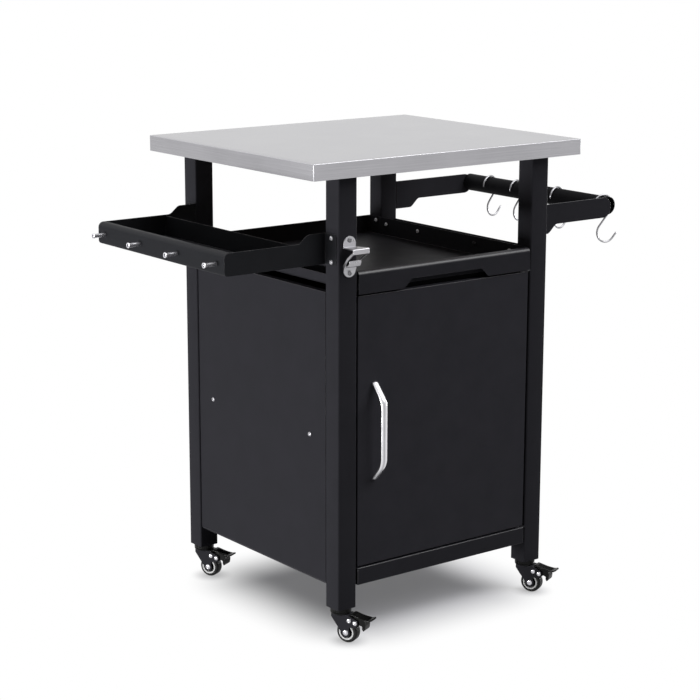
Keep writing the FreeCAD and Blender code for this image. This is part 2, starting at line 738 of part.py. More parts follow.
def make_door():
    """Folded door pan with two hinge pins."""
    door = new_body("door_panel")
    leaf = size.steelSheet
    pad(door, "XZ_Plane", door_front, door_back,
        [box_outline(-door_side, door_side, door_low, size.doorTop)])
    pocket(door, "XZ_Plane", door_front + leaf, door_back,
           [box_outline(-door_side + leaf, door_side - leaf, door_low + leaf, size.doorTop - leaf)])
    pocket(door, "XY_Plane", door_low - 1, size.doorTop + 1, [],
           [(hinge_x, hinge_y, size.hingePin + size.pinPlay)])
    pocket(door, "XZ_Plane", door_front - 1, door_front + leaf + 1,
           [hole_outline(grip_x, z) for z in grip_ends])
    edges = [(x * door_side, door_front, None) for x in (-1, 1)]
    round_edges(door, size.steelSheet, edge_along(2, edges))
    pins = []
    lower_end = size.cupFloor + size.seatGap
    upper_leaf = size.apronLow - 1 - size.leafSheet
    ends = [("low", lower_end, door_low + 18), ("high", size.doorTop - 18,
            upper_leaf + size.leafSheet - size.seatGap)]
    for name, low, high in ends:
        rod = prism("pin_" + name, 12, size.hingePin, high - low, low)
        collar_low = door_low + leaf if name == "low" else size.doorTop - leaf - size.collarHigh
        collar_radius = size.hingePin + size.collarOver
        collar = prism("collar_" + name, 12, collar_radius, size.collarHigh, collar_low)
        pin = fuse("hinge_pin_" + name, rod, collar)
        move_to(pin, hinge_x, hinge_y, 0)
        pins.append(pin)
    group("hinge_pins", pins)


def bent_bar(section, points, bends):
    """Carry a flat section along straight runs joined by tangent arcs, one per inner point."""
    runs = []
    here = points[0]
    for before, corner, after, radius in zip(points, points[1:], points[2:], bends):
        back = (before - corner).normalize()
        ahead = (after - corner).normalize()
        half = back.getAngle(ahead) / 2
        leave = corner + back * (radius / math.tan(half))
        runs.append(section.extrude(leave - here))
        section.translate(leave - here)
        middle = corner + (back + ahead).normalize() * (radius / math.sin(half))
        axis = ahead.cross(back).normalize() * -1
        angle = 180 - math.degrees(2 * half)
        runs.append(section.revolve(middle, axis, -angle))
        section.rotate(middle, axis, -angle)
        here = corner + ahead * (radius / math.tan(half))
    runs.append(section.extrude(points[-1] - here))
    return runs[0].multiFuse(runs[1:]).removeSplitter()


def make_door_handle():
    """Flat bar with bevelled edges, bent back to the door at both ends."""
    x = grip_x.value
    face = door_front.value
    out = face - size.gripOut.value
    middle = size.gripMiddle.value
    span = size.gripSpan.value / 2
    flat = size.gripFlat.value / 2
    foot = size.gripFoot.value
    points = [
        vector(x, face, middle + span), vector(x, face - foot, middle + span),
        vector(x, out, middle + flat), vector(x, out, middle - flat),
        vector(x, face - foot, middle - span), vector(x, face, middle - span),
    ]
    half_x = size.gripWide.value / 2
    half_z = size.gripThick.value / 2
    cut_off = size.gripBevel.value
    corners = [
        (half_x, half_z - cut_off), (half_x - cut_off, half_z), (cut_off - half_x, half_z),
        (-half_x, half_z - cut_off), (-half_x, cut_off - half_z), (cut_off - half_x, -half_z),
        (half_x - cut_off, -half_z), (half_x, cut_off - half_z),
    ]
    ring = [points[0] + vector(along, 0, across) for along, across in corners]
    section = Part.Face(Part.makePolygon(ring + ring[:1]))
    handle = doc.addObject("Part::Feature", "door_handle")
    handle.Label = "door_handle"
    bends = [size.gripFootBend.value, size.gripBend.value]
    solid = bent_bar(section, points, bends + bends[::-1])
    for level in (middle - span, middle + span):
        around = ring_outline(x, level, hole_radius.value, 6)
        corners = [vector(place_x, face, place_z) for place_x, place_z in around]
        hole = Part.Face(Part.makePolygon(corners + corners[:1]))
        solid = solid.cut(hole.extrude(vector(0, -size.screwLong.value, 0)))
    handle.Shape = solid
    pieces.append(handle)
    members = [
        screw(f"grip_screw_{n}", grip_x, door_front + size.steelSheet, z, (0, 1, 0))
        for n, z in enumerate(grip_ends)
    ]
    group("handle_screws", members)


def add_flanges(body, ways, side, leaf, high):
    """Flanges on the posts' outer faces, at the front (-1) or the back (1)."""
    face = size.frameWidth / 2
    levels = sorted((side * face, side * (face + leaf)), key=lambda place: place.value)
    for way in ways:
        near = way * post_inner_y
        far = way * (post_inner_y + size.flangeWide)
        holes = [hole_outline(way * post_middle_y, z) for z in flange_screws]
        pad(body, "YZ_Plane", *levels, [box_outline(near, far, rack_low, high)] + holes)
        tips = [(None, far, z) for z in (rack_low, high)]
        round_edges(body, size.flangeRound, edge_along(0, tips))


def make_rack():
    """Left rack: a long tray whose end walls run on as arms to the posts."""
    rack = new_body("spice_rack")
    leaf = size.steelSheet
    outer = -size.frameWidth / 2 - size.rackReach
    inner = outer + size.rackTray
    low = rack_low
    top = low + size.rackHigh
    wall_top = top - 2
    half_y = post_inner_y
    section = [
        (outer, low), (inner, low), (inner, wall_top), (inner - leaf, wall_top),
        (inner - leaf, low + leaf), (outer + leaf, low + leaf), (outer + leaf, top - leaf),
        (outer + size.rackRoll, top - leaf), (outer + size.rackRoll, top), (outer, top),
    ]
    pad(rack, "XZ_Plane", -half_y, half_y, [section])
    post_face = -size.frameWidth / 2
    flange_top = low + size.flangeHigh
    arm = [
        (outer, low), (post_face, low), (post_face, flange_top),
        (post_face - size.stepNear, flange_top), (post_face - size.stepFar, top), (outer, top),
    ]
    for way in (-1, 1):
        levels = sorted((way * half_y, way * (half_y + leaf)), key=lambda place: place.value)
        pad(rack, "XZ_Plane", *levels, [arm])
    slope = [(post_face - size.stepNear, None, flange_top), (post_face - size.stepFar, None, top)]
    round_edges(rack, size.stepRound, edge_along(1, slope))
    round_edges(rack, size.rackRound, edge_along(1, [(outer, None, top)]))
    round_edges(rack, size.rackHeel, edge_along(1, [(outer, None, low)]))
    round_edges(rack, size.rackRound - leaf, edge_along(1, [(outer + leaf, None, top - leaf)]))
    round_edges(rack, size.rackHeel - leaf, edge_along(1, [(outer + leaf, None, low + leaf)]))
    add_flanges(rack, (-1, 1), -1, leaf, flange_top)
    pocket(rack, "YZ_Plane", outer - 1, outer + leaf + 1, [hole_outline(y, peg_z) for y in pegs_y])
    make_pegs(outer)


def make_pegs(wall):
    """Hollow tipped pegs on the rack's outer wall, each with its stud and nut."""
    members = []
    for n, y in enumerate(pegs_y):
        rod = prism(f"peg_rod_{n}", 12, size.pegRadius, size.pegLong - size.pegRim)
        tip = prism(f"peg_tip_{n}", 12, size.pegFlare, size.pegRim, size.pegLong - size.pegRim)
        bore = prism(f"peg_bore_{n}", 12, size.pegBore, size.pegDeep, size.pegLong - size.pegDeep)
        stud = prism(f"peg_stud_{n}", 6, size.screwShank, size.steelSheet + 5,
                     -size.steelSheet - 5)
        nut = prism(f"peg_nut_{n}", 6, size.screwHead, 3, -size.steelSheet - 3)
        shell = cut(f"peg_shell_{n}", fuse(f"peg_body_{n}", rod, tip), bore)
        peg = fuse(f"peg_{n}", shell, fuse(f"peg_root_{n}", stud, nut))
        peg.Placement = FreeCAD.Placement(vector(), FreeCAD.Rotation(upright, vector(-1, 0, 0)))
        move_to(peg, wall, y, peg_z)
        members.append(peg)
    group("rack_pegs", members)


def make_handle_arm(label, way):
    """Plate arm of the side handle, round at its end, with a flange on the post."""
    arm = new_body(label)
    face = size.frameWidth / 2
    end = face + size.armReach
    low = arm_top - size.armHigh
    outline = [
        (face, rack_low), (face + size.stepNear, rack_low),
        (face + size.stepFar, low), (end, low), (end, arm_top), (face, arm_top),
    ]
    near = post_inner_y
    levels = sorted((way * near, way * (near + size.armSheet)), key=lambda place: place.value)
    pad(arm, "XZ_Plane", *levels, [outline])
    tips = [(end, None, low), (end, None, arm_top)]
    round_edges(arm, size.armHigh / 2 - 0.05, edge_along(1, tips))
    slope = [(face + size.stepNear, None, rack_low), (face + size.stepFar, None, low)]
    round_edges(arm, size.stepRound, edge_along(1, slope))
    add_flanges(arm, (way,), 1, size.armSheet, arm_top)


def make_handle_bar():
    """Round tube between the two arms."""
    bar = new_body("handle_bar")
    reach = post_inner_y
    pad(bar, "XZ_Plane", -reach, reach, [],
        [(bar_x, bar_z, size.barRadius), (bar_x, bar_z, size.barRadius - size.barWall)])


def hook_shape(lean, run, lower, tip):
    """S hook of wire in the XZ plane, its upper bend round the origin."""
    angle = math.radians(lean)
    outward = vector(math.cos(angle), 0, -math.sin(angle))
    ahead = vector(-math.sin(angle), 0, -math.cos(angle))
    # the straight run leaves the upper bend and joins the lower one
    leave = outward * size.hookBend.value
    middle = leave + ahead * run + outward * lower
    # six sided section across the run, turned back and on round the bends
    side_way = vector(0, 1, 0)
    out_way = ahead.cross(side_way)
    turns = [math.radians(60 * n) for n in range(6)]
    radius = size.wireRadius.value
    corners = [leave + (out_way * math.cos(t) + side_way * math.sin(t)) * radius for t in turns]
    section = Part.Face(Part.makePolygon(corners + corners[:1]))
    straight = section.extrude(ahead * run)
    over = section.revolve(vector(), -side_way, size.hookStart.value + lean)
    section.translate(ahead * run)
    under = section.revolve(middle, -side_way, size.hookSweep.value)
    section.rotate(middle, -side_way, size.hookSweep.value)
    way = FreeCAD.Rotation(-side_way, size.hookSweep.value).multVec(ahead)
    end = section.extrude(way * tip)
    return straight.multiFuse([over, under, end]).removeSplitter()


def make_hooks():
    """Four hooks on the handle bar, hanging from its upper side, the front one larger."""
    small = hook_shape(
        size.hookLean.value, size.hookRun.value, size.hookLower.value, size.hookTip.value)
    large = hook_shape(
        size.bigHookLean.value, size.bigHookRun.value, size.bigHookLower.value,
        size.bigHookTip.value)
    lift = size.barRadius + size.seatGap + size.wireRadius - size.hookBend
    kinds = [(large, size.bigHookTurn)] + [(small, size.hookTurn)] * 3
    for n, (y, (shape, turn)) in enumerate(zip(hooks_y, kinds), start=1):
        hook = doc.addObject("Part::Feature", f"s_hook_{n}")
        hook.Label = f"s_hook_{n}"
        hook.Shape = shape
        place = vector(bar_x.value, y.value, (bar_z + lift).value)
        hook.Placement = FreeCAD.Placement(place, FreeCAD.Rotation(vector(0, 0, 1), turn.value))
        pieces.append(hook)


def make_opener():
    """Bottle opener: two tabs on the post, a hood with a lip, straps beside the mouth."""
    opener = new_body("bottle_opener")
    leaf = size.openerSheet
    low = opener_low
    brow = low + size.openerBrow
    out = size.openerOut
    lip_low = brow - size.openerLip
    half_tab = size.openerTab / 2
    half_wide = size.openerWide / 2
    # one strip: lower tab, strap, lip, hood and upper tab, open towards the post
    strip = [
        (0, low), (-leaf, low), (-leaf, brow - 43), (-leaf - 3, brow - 36.5),
        (out * -0.3, brow - 29), (out * -0.52, brow - 21), (-out, lip_low), (-out, brow),
        (-leaf, brow - 2), (-leaf, opener_top), (0, opener_top), (0, brow - 2 - leaf),
        (leaf - out, brow - leaf), (leaf - out, lip_low + 3.4), (out * -0.45, brow - 17.8),
        (out * -0.22, brow - 26.3), (0, brow - 33.5),
    ]
    pad(opener, "YZ_Plane", -half_wide, half_wide, [strip])
    neck = brow - 37
    for side in (-1, 1):
        beside_tab = [
            (side * (half_wide + 1), brow + 1), (side * half_wide, brow + 1),
            (side * half_tab, brow + 6), (side * half_tab, opener_top + 1),
            (side * (half_wide + 1), opener_top + 1),
        ]
        beside_strap = [
            (side * half_wide, lip_low), (side * (half_wide + 1), lip_low),
            (side * (half_wide + 1), low - 1), (side * half_tab, low - 1),
            (side * half_tab, neck),
        ]
        pocket(opener, "XZ_Plane", -out - 1, 1, [beside_tab, beside_strap])
        beside_hood = [
            (side * half_tab, 1), (side * half_tab, -leaf - 1), (side * half_wide, -out + 8),
            (side * (half_wide + 1), -out + 8), (side * (half_wide + 1), 1),
        ]
        pocket(opener, "XY_Plane", lip_low, brow + 6, [beside_hood])
    inner = half_wide - size.openerStrap
    neck_inner = half_tab - size.openerStrap
    mouth = [(-inner, lip_low), (inner, lip_low), (neck_inner, neck), (-neck_inner, neck)]
    pocket(opener, "XZ_Plane", -out - 1, 1, [mouth])
    # the tooth that lifts the cap stands on a shelf between the straps
    shelf = [
        (-leaf, neck - 1), (out * -0.44, brow - 33.5), (out * -0.53, brow - 28),
        (out * -0.53, brow - 23), (out * -0.47, brow - 23), (out * -0.47, brow - 27.4),
        (out * -0.4, brow - 31), (-leaf, neck + 1.6),
    ]
    pad(opener, "YZ_Plane", -neck_inner - 1.5, neck_inner + 1.5, [shelf])
    tabs = [(way * half_tab, None, z) for way in (-1, 1) for z in (low, opener_top)]
    round_edges(opener, half_tab - 0.2, edge_along(1, tabs))
    round_edges(opener, size.openerSheet, edge_along(0, [(None, -out, brow)]))
    holes = [hole_outline(0, z) for z in opener_screws]
    pocket(opener, "XZ_Plane", -leaf - 1, 1, holes)
    move_to(opener, opener_x, front, 0)


def make_frame_screws():
    """Screws of tray, rack and handle arms in the posts and side channels."""
    members = []
    inner = post_inner_x - size.steelSheet
    for side in (-1, 1):
        for way in (-1, 1):
            name = f"{'l' if side < 0 else 'r'}{'f' if way < 0 else 'b'}"
            members.append(screw("tray_screw_" + name, side * inner, way * tray_screw_y,
                                 tray_screw_z, (-side, 0, 0)))
            leaf = size.steelSheet if side < 0 else size.armSheet
            face = side * (size.frameWidth / 2 + leaf)
            for n, z in enumerate(flange_screws):
                members.append(screw(f"flange_screw_{name}_{n}", face, way * post_middle_y, z,
                                     (side, 0, 0)))
        for n, y in enumerate(rail_screws):
            members.append(screw(f"rail_screw_{side}_{n}".replace("-", "m"), side * inner, y,
                                 rail_screw_z, (-side, 0, 0)))
        panel_face = side * (size.frameWidth / 2 - size.panelInset)
        for way in (-1, 1):
            members.append(screw(f"shelf_screw_{side}_{way}".replace("-", "m"), panel_face,
                                 way * size.shelfScrewY, size.shelfScrewZ, (side, 0, 0)))
    group("frame_screws", members)
    opener_face = front - size.openerSheet
    group("opener_screws", [
        screw(f"opener_screw_{n}", opener_x, opener_face, z, (0, -1, 0))
        for n, z in enumerate(opener_screws)
    ])


def caster_places():
    return [
        ("front_left", -1, -1), ("front_right", 1, -1),
        ("back_left", -1, 1), ("back_right", 1, 1),
    ]


def turn_to_caster(piece, side, face):
    """Put a piece built about the swivel axis under its post, turned to the trail."""
    turn = FreeCAD.Rotation(upright, size.casterTurn.value)
    piece.Placement = FreeCAD.Placement(vector(), turn)
    move_to(piece, side * post_middle_x, face * post_middle_y, 0)


def make_caster_mounts():
    """Sockets pressed into the posts, and the stems with their round caps."""
    sockets = []
    stems = []
    clear = size.postWall + size.seatGap
    cap_low = size.postFoot - size.capHigh
    for name, side, face in caster_places():
        block = doc.addObject("Part::Box", "socket_block_" + name)
        bind(block, "Length", size.postWidth - 2 * clear)
        bind(block, "Width", size.postDepth - 2 * clear)
        bind(block, "Height", size.socketHigh)
        move_to(block, clear - size.postWidth / 2, clear - size.postDepth / 2, size.postFoot)
        bore = cylinder("socket_bore_" + name, size.stemRadius + size.pinPlay,
                        size.socketHigh, size.postFoot)
        socket = cut("socket_" + name, block, bore)
        move_to(socket, side * post_middle_x, face * post_middle_y, 0)
        sockets.append(socket)
        low = cap_low - size.seatGap * 2 - size.forkSheet
        stem = prism("stem_rod_" + name, 24, size.stemRadius,
                     size.postFoot + size.stemLong - low, low)
        cap = prism("stem_cap_" + name, 24, size.capRadius, size.capHigh, cap_low)
        head = prism("stem_head_" + name, 24, size.stemHead, size.stemHeadHigh,
                     low - size.stemHeadHigh)
        whole = fuse("stem_" + name, fuse("stem_top_" + name, cap, head), stem)
        move_to(whole, side * post_middle_x, face * post_middle_y, 0)
        stems.append(whole)
    group("caster_sockets", sockets)
    group("caster_stems", stems)


def make_fork(name, side, face):
    """Stamped fork: a crown under the cap and two cheeks down to the axle."""
    fork = new_body("fork_" + name)
    crown_top = size.postFoot - size.capHigh - size.seatGap
    crown_low = crown_top - size.forkSheet
    outer = size.forkInside / 2 + size.forkSheet
    trail = size.wheelTrail
    axle = size.wheelRadius
    cheek = [
        (-13, crown_top), (-13, crown_top - 6), (trail - 8, axle - 1), (trail + 7.4, axle - 1),
        (trail + 6.5, axle + 10), (size.pedalX + 2, axle + 13), (size.pedalX + 5.5, axle + 18),
        (size.pedalX + 5, size.pedalZ + 4.5), (20, crown_top),
    ]
    pad(fork, "XZ_Plane", -outer, outer, [cheek])
    pad(fork, "XZ_Plane", -outer, outer, [ring_outline(trail, axle, size.forkBoss, 24)])
    inside = size.forkInside / 2
    slot = box_outline(-20, size.pedalX + 20, axle - 12, crown_low)
    pocket(fork, "XZ_Plane", -inside, inside, [slot])
    pad(fork, "XY_Plane", crown_low, crown_top, [ring_outline(0, 0, size.capRadius - 2, 24)])
    pocket(fork, "XY_Plane", crown_low - 1, crown_top + 1, [],
           [(0, 0, size.stemRadius + size.pinPlay)])
    play = size.pinPlay
    pocket(fork, "XZ_Plane", -outer - 1, outer + 1, [
        ring_outline(trail, axle, size.axleRadius + play, 12),
        ring_outline(size.pedalX, size.pedalZ, size.rivetRadius + play, 12),
        ring_outline(size.rivetX, size.rivetZ, size.rivetRadius + play, 12),
    ])
    turn_to_caster(fork, side, face)


def make_caster_pins(name, side, face):
    """Axle bolt and two rivets of one fork, as separate solids."""
    outer = size.forkInside / 2 + size.forkSheet
    rods = [
        ("axle", size.wheelTrail, size.wheelRadius, size.axleRadius, size.axleRadius + 1.6),
        ("pivot", size.pedalX, size.pedalZ, size.rivetRadius, size.rivetRadius + 1.2),
        ("rivet", size.rivetX, size.rivetZ, size.rivetRadius, size.rivetRadius + 1.2),
    ]
    pins = []
    for kind, x, z, radius, head in rods:
        tag = f"{kind}_{name}"
        rod = prism(tag + "_rod", 12, radius, 2 * outer, -outer)
        lower = prism(tag + "_low", 12, head, 1.5, -outer - 1.5)
        upper = prism(tag + "_high", 12, head, 1.5, outer)
        whole = fuse(tag, fuse(tag + "_half", rod, lower), upper)
        whole.Placement = FreeCAD.Placement(vector(), FreeCAD.Rotation(vector(1, 0, 0), 90))
        move_to(whole, x, 0, z)
        pins.append(whole)
    node = group("caster_pins_" + name, pins)
    turn_to_caster(node, side, face)


def revolve(body, profile):
    """Turn a profile (radius, across) round the wheel's axle."""
    sketch = new_sketch(body, "XY_Plane", size.wheelRadius, size.wheelTrail)
    draw_outline(sketch, profile)
    turned = body.newObject("PartDesign::Revolution", body.Label + "_turned")
    turned.Profile = sketch
    turned.ReferenceAxis = (sketch, ["V_Axis"])
    turned.Angle = 360
    doc.recompute()


def make_wheel(name, side, face):
    tyre = new_body("tyre_" + name)
    half = size.wheelWide / 2
    radius = size.wheelRadius
    hub = size.hubRadius
    revolve(tyre, [(hub, -half), (radius, -half), (radius, half), (hub, half)])
    turn_to_caster(tyre, side, face)
    core = new_body("hub_" + name)
    bore = size.axleRadius + size.pinPlay
    wide = half + size.hubProud
    revolve(core, [(bore, -wide), (hub, -wide), (hub, wide), (bore, wide)])
    turn_to_caster(core, side, face)


def make_pedal(name, side, face):
    """Brake pedal: a tread plate over the wheel, its cam between the cheeks."""
    pedal = new_body("pedal_" + name)
    x = size.pedalX
    z = size.pedalZ
    plate = [
        (x - 11.5, z + 13.4), (x - 9.5, z + 15.6), (x + 9.5, z + 11), (x + 23.5, z + 9),
        (x + 31.5, z + 11.5), (x + 33.5, z + 10), (x + 31.5, z + 8), (x + 23.5, z + 6),
        (x + 9.5, z + 8.2),
    ]
    wide = size.forkInside / 2 + 1
    pad(pedal, "XZ_Plane", -wide, wide, [plate])
    web = [
        (x - 4.5, z + 9), (x + 9.5, z + 9), (x + 17.5, z + 7.5), (x + 20, z - 2),
        (x + 19, z - 10), (x + 15.5, z - 14), (x + 13, z - 10), (x + 13, z - 4.5),
        (x + 7.5, z - 3), (x + 1.5, z - 9.3), (x - 4.5, z - 2),
    ]
    inside = size.forkInside / 2 - 1.5
    pad(pedal, "XZ_Plane", -inside, inside, [web])
    pocket(pedal, "XZ_Plane", -inside - 1, inside + 1, [],
           [(x, z, size.rivetRadius + size.pinPlay)])
    turn_to_caster(pedal, side, face)


make_tabletop()
make_tabletop_screws()
make_posts()
make_tray()
for side_name, way in (("left", -1), ("right", 1)):
    make_side_rail("side_rail_" + side_name, way)
    make_side_panel("side_panel_" + side_name, way)
make_stop_rail()
make_back_panel()
make_bottom_panel()
make_inner_shelf()
make_hinge_bracket("hinge_bracket_bottom", size.cupFloor, True)
make_hinge_bracket("hinge_bracket_top", size.apronLow - 1 - size.leafSheet, False)
make_catch()
make_door()
make_door_handle()
make_rack()
make_handle_arm("handle_arm_front", -1)
make_handle_arm("handle_arm_back", 1)
make_handle_bar()
make_hooks()
make_opener()
make_frame_screws()
make_caster_mounts()
for place_name, place_side, place_face in caster_places():
    make_fork(place_name, place_side, place_face)
    make_caster_pins(place_name, place_side, place_face)
    make_wheel(place_name, place_side, place_face)
    make_pedal(place_name, place_side, place_face)
doc.recompute()

for item in doc.Objects:
    if "Invalid" in item.State or "Error" in item.State:
        raise ValueError(f"{item.Label} did not build: {item.State}")
for item in pieces:
    if item.Shape.isNull() or not item.Shape.isValid():
        raise ValueError(f"{item.Label} has no valid shape")

os.makedirs("parts", exist_ok=True)
for item in pieces:
    item.Shape.exportStep(f"parts/{item.Label}.step")
print(len(pieces), "sub-parts written")
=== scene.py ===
import json
import math

import bmesh
import bpy
import numpy as np
from mathutils import Matrix, Vector


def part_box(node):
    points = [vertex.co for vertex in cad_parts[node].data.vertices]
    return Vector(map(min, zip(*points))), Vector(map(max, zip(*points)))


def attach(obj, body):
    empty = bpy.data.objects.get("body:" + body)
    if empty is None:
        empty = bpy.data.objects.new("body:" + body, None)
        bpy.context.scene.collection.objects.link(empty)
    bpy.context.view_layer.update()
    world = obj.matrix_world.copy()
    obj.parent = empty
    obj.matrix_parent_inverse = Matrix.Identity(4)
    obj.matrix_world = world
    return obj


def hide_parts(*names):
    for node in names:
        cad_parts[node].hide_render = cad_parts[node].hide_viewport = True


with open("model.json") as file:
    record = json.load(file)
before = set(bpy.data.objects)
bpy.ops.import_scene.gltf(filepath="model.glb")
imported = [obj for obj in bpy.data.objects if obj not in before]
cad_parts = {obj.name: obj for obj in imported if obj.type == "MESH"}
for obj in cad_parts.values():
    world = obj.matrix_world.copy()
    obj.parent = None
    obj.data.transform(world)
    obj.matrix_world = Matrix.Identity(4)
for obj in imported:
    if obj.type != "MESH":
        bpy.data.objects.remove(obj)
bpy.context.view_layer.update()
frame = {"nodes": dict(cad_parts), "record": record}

print("frame loaded:", len(frame["nodes"]), "nodes")


class Wire:
    # wraps an output socket, so that sums and products of sockets add Math nodes
    def __init__(self, nodes, socket):
        self.nodes = nodes
        self.socket = socket

    def maths(self, operation, *values):
        return self.nodes.node("ShaderNodeMath", {"operation": operation}, dict(enumerate(values)))

    def __add__(self, other):
        return self.maths("ADD", self, other)

    def __radd__(self, other):
        return self + other

    def __sub__(self, other):
        return self.maths("SUBTRACT", self, other)

    def __rsub__(self, other):
        return self.maths("SUBTRACT", other, self)

    def __mul__(self, other):
        return self.maths("MULTIPLY", self, other)

    def __rmul__(self, other):
        return self * other

    def __gt__(self, other):
        return self.maths("GREATER_THAN", self, other)

    def __abs__(self):
        return self.maths("ABSOLUTE", self)

    def root(self):
        return self.maths("SQRT", self)

    def larger(self, other):
        return self.maths("MAXIMUM", self, other)

    def clamp(self):
        return self.nodes.node("ShaderNodeClamp", {}, {0: self, 1: 0.0, 2: 1.0})


class Nodes:
    # adds nodes to one tree: a node's settings first, then the values or links of its sockets
    def __init__(self, tree):
        self.tree = tree

    def fill(self, target, value):
        if isinstance(value, Wire):
            self.tree.links.new(value.socket, target)
        else:
            target.default_value = value

    def node(self, kind, settings, sockets, output=0):
        made = self.tree.nodes.new(kind)
        for name, value in settings.items():
            setattr(made, name, value)
        for key, value in sockets.items():
            self.fill(made.inputs[key], value)
        return Wire(self, made.outputs[output])

    def place(self):
        return self.node("ShaderNodeTexCoord", {}, {}, "Object")

    def normal(self, kind="Normal"):
        return self.node("ShaderNodeNewGeometry", {}, {}, kind)

    def part(self, vector, axis):
        return self.node("ShaderNodeSeparateXYZ", {}, {0: vector}, axis)

    def ray(self, kind):
        return self.node("ShaderNodeLightPath", {}, {}, "Is " + kind + " Ray")

    def shownRays(self):
        # 1 for what the camera sees, straight, in a reflection or through glass
        return self.ray("Camera").larger(self.ray("Glossy")).larger(self.ray("Transmission"))

    def stretched(self, scale):
        return self.node("ShaderNodeMapping", {}, {"Vector": self.place(), "Scale": scale})

    def noise(self, vector, scale, detail=2.0, roughness=0.5):
        return self.node("ShaderNodeTexNoise", {},
                         {"Vector": vector, "Scale": scale, "Detail": detail, "Roughness": roughness})

    def ramp(self, value, low, high, bottom=0.0, top=1.0, kind="LINEAR"):
        return self.node("ShaderNodeMapRange", {"interpolation_type": kind},
                         {0: value, 1: low, 2: high, 3: bottom, 4: top})

    def blend(self, factor, first, second):
        return self.node("ShaderNodeMix", {"data_type": "RGBA"}, {0: factor, 6: first, 7: second}, 2)


class Recipe(Nodes):
    # one material: constants go straight onto the shader's sockets
    def __init__(self, name, **constants):
        self.material = bpy.data.materials.new(name)
        self.material.use_nodes = True
        super().__init__(self.material.node_tree)
        self.shader = self.tree.nodes["Principled BSDF"]
        for socket, value in constants.items():
            self.set(socket, value)

    def set(self, socket, value):
        self.fill(self.shader.inputs[socket.replace("_", " ")], value)

    def bump(self, height, strength, distance):
        self.set("Normal", self.node("ShaderNodeBump", {},
                                     {"Height": height, "Strength": strength, "Distance": distance}))


noiseSpan = (0.3, 0.7)      # the stretch that most of a noise's values fill
metalCool = 0.05            # bare metal is a little bluer than grey


def grey(level, cool=0.0):
    return (level * (1 + cool * 0.2), level, level * (1 + cool), 1)


powderLook = {
    "dark": (0.0194, 0.0192, 0.0229, 1), "light": (0.0230, 0.0226, 0.0270, 1),
    "grain": 1500, "dapple": 22, "rough": (0.50, 0.60), "sheen": 0.03,
    "upper": 0.16, "rim": 0.16, "rolled": (0.2, 0.6), "level": (0.93, 0.995), "peel": (0.18, 0.00012),
}


def powderCoat(name, look):
    # fine orange peel with slow changes of tone and sheen
    coat = Recipe(name, Specular_IOR_Level=look["sheen"], IOR=1.5, Coat_Roughness=0.36)
    spot = coat.place()
    slow = coat.noise(spot, look["dapple"], 3.0, 0.55)
    grain = coat.noise(spot, look["grain"], 1.5, 0.6)
    mixed = coat.ramp(slow * 0.65 + grain * 0.35, 0.35, 0.65)
    coat.set("Base_Color", coat.blend(mixed, look["dark"], look["light"]))
    coat.set("Roughness", coat.ramp(slow, *noiseSpan, *look["rough"]))
    # faces that look up shine a little at a low angle, rolled rims more than flat sheet
    upward = coat.part(coat.normal(), "Z")
    flat = coat.ramp(upward, *look["level"])
    shine = look["rim"] + flat * (look["upper"] - look["rim"])
    coat.set("Coat_Weight", coat.ramp(upward, *look["rolled"]) * shine)
    coat.bump(grain, *look["peel"])
    return coat.material


topLook = {
    "dark": 0.335, "light": 0.425, "rough": (0.20, 0.28), "streak": 900, "stretch": 7, "cloud": 9,
    "edge": 0.48, "edgeRough": 0.28, "rounded": (0.97, 0.998), "brush": (0.06, 0.00006),
}


def brushedSheet(name, look):
    # fine parallel scratches: the noise is stretched along X, and along Y on the end faces
    sheet = Recipe(name, Metallic=1.0)
    normal = sheet.normal("True Normal")
    endways, frontways, upwards = [abs(sheet.part(normal, axis)) for axis in "XYZ"]
    ends = endways > 0.7
    fine, long = look["streak"], look["stretch"]
    along = sheet.noise(sheet.stretched((long, fine, fine)), 1.0, 4.0, 0.65)
    across = sheet.noise(sheet.stretched((fine, long, fine)), 1.0, 4.0, 0.65)
    streaks = along * (1 - ends) + across * ends
    cloud = sheet.noise(sheet.place(), look["cloud"], 3.0, 0.55)
    tone = sheet.ramp(streaks * 0.6 + cloud * 0.4, *noiseSpan)
    flat = sheet.blend(tone, grey(look["dark"], metalCool), grey(look["light"], metalCool))
    # the rounded edges, which face no axis, take a paler colour, a painted highlight, and are duller
    rounded = sheet.ramp(endways.larger(frontways).larger(upwards), *look["rounded"], 1.0, 0.0)
    sheet.set("Base_Color", sheet.blend(rounded, flat, grey(look["edge"], metalCool)))
    gloss = sheet.ramp(streaks * 0.5 + cloud * 0.5, *noiseSpan, *look["rough"])
    sheet.set("Roughness", gloss + rounded * look["edgeRough"])
    sheet.bump(streaks, *look["brush"])
    return sheet.material


brightLook = {
    "dark": 0.40, "light": 0.47, "rough": (0.20, 0.28), "metallic": 1.0,
    "scratch": 700, "cloud": 60, "relief": (0.05, 0.00005),
}


def brightMetal(name, look):
    # polished or zinc plated metal with faint, fine scratches
    metal = Recipe(name, Metallic=look["metallic"])
    spot = metal.place()
    fine = metal.noise(spot, look["scratch"], 3.0, 0.6)
    cloud = metal.noise(spot, look["cloud"], 3.0, 0.6)
    tone = metal.ramp(fine * 0.4 + cloud * 0.6, *noiseSpan)
    colour = metal.blend(tone, grey(look["dark"], metalCool), grey(look["light"], metalCool))
    if "band" in look:
        # paler to both sides of a line at one X, by the distance from it: painted highlights on the two sides
        # of the door grip
        line, near, far, pale = look["band"]
        away = abs(metal.part(spot, "X") - line)
        colour = metal.blend(metal.ramp(away, near, far), colour, grey(pale, 0.03))
    metal.set("Base_Color", colour)
    metal.set("Roughness", metal.ramp(cloud, *noiseSpan, *look["rough"]))
    metal.bump(fine, *look["relief"])
    return metal.material


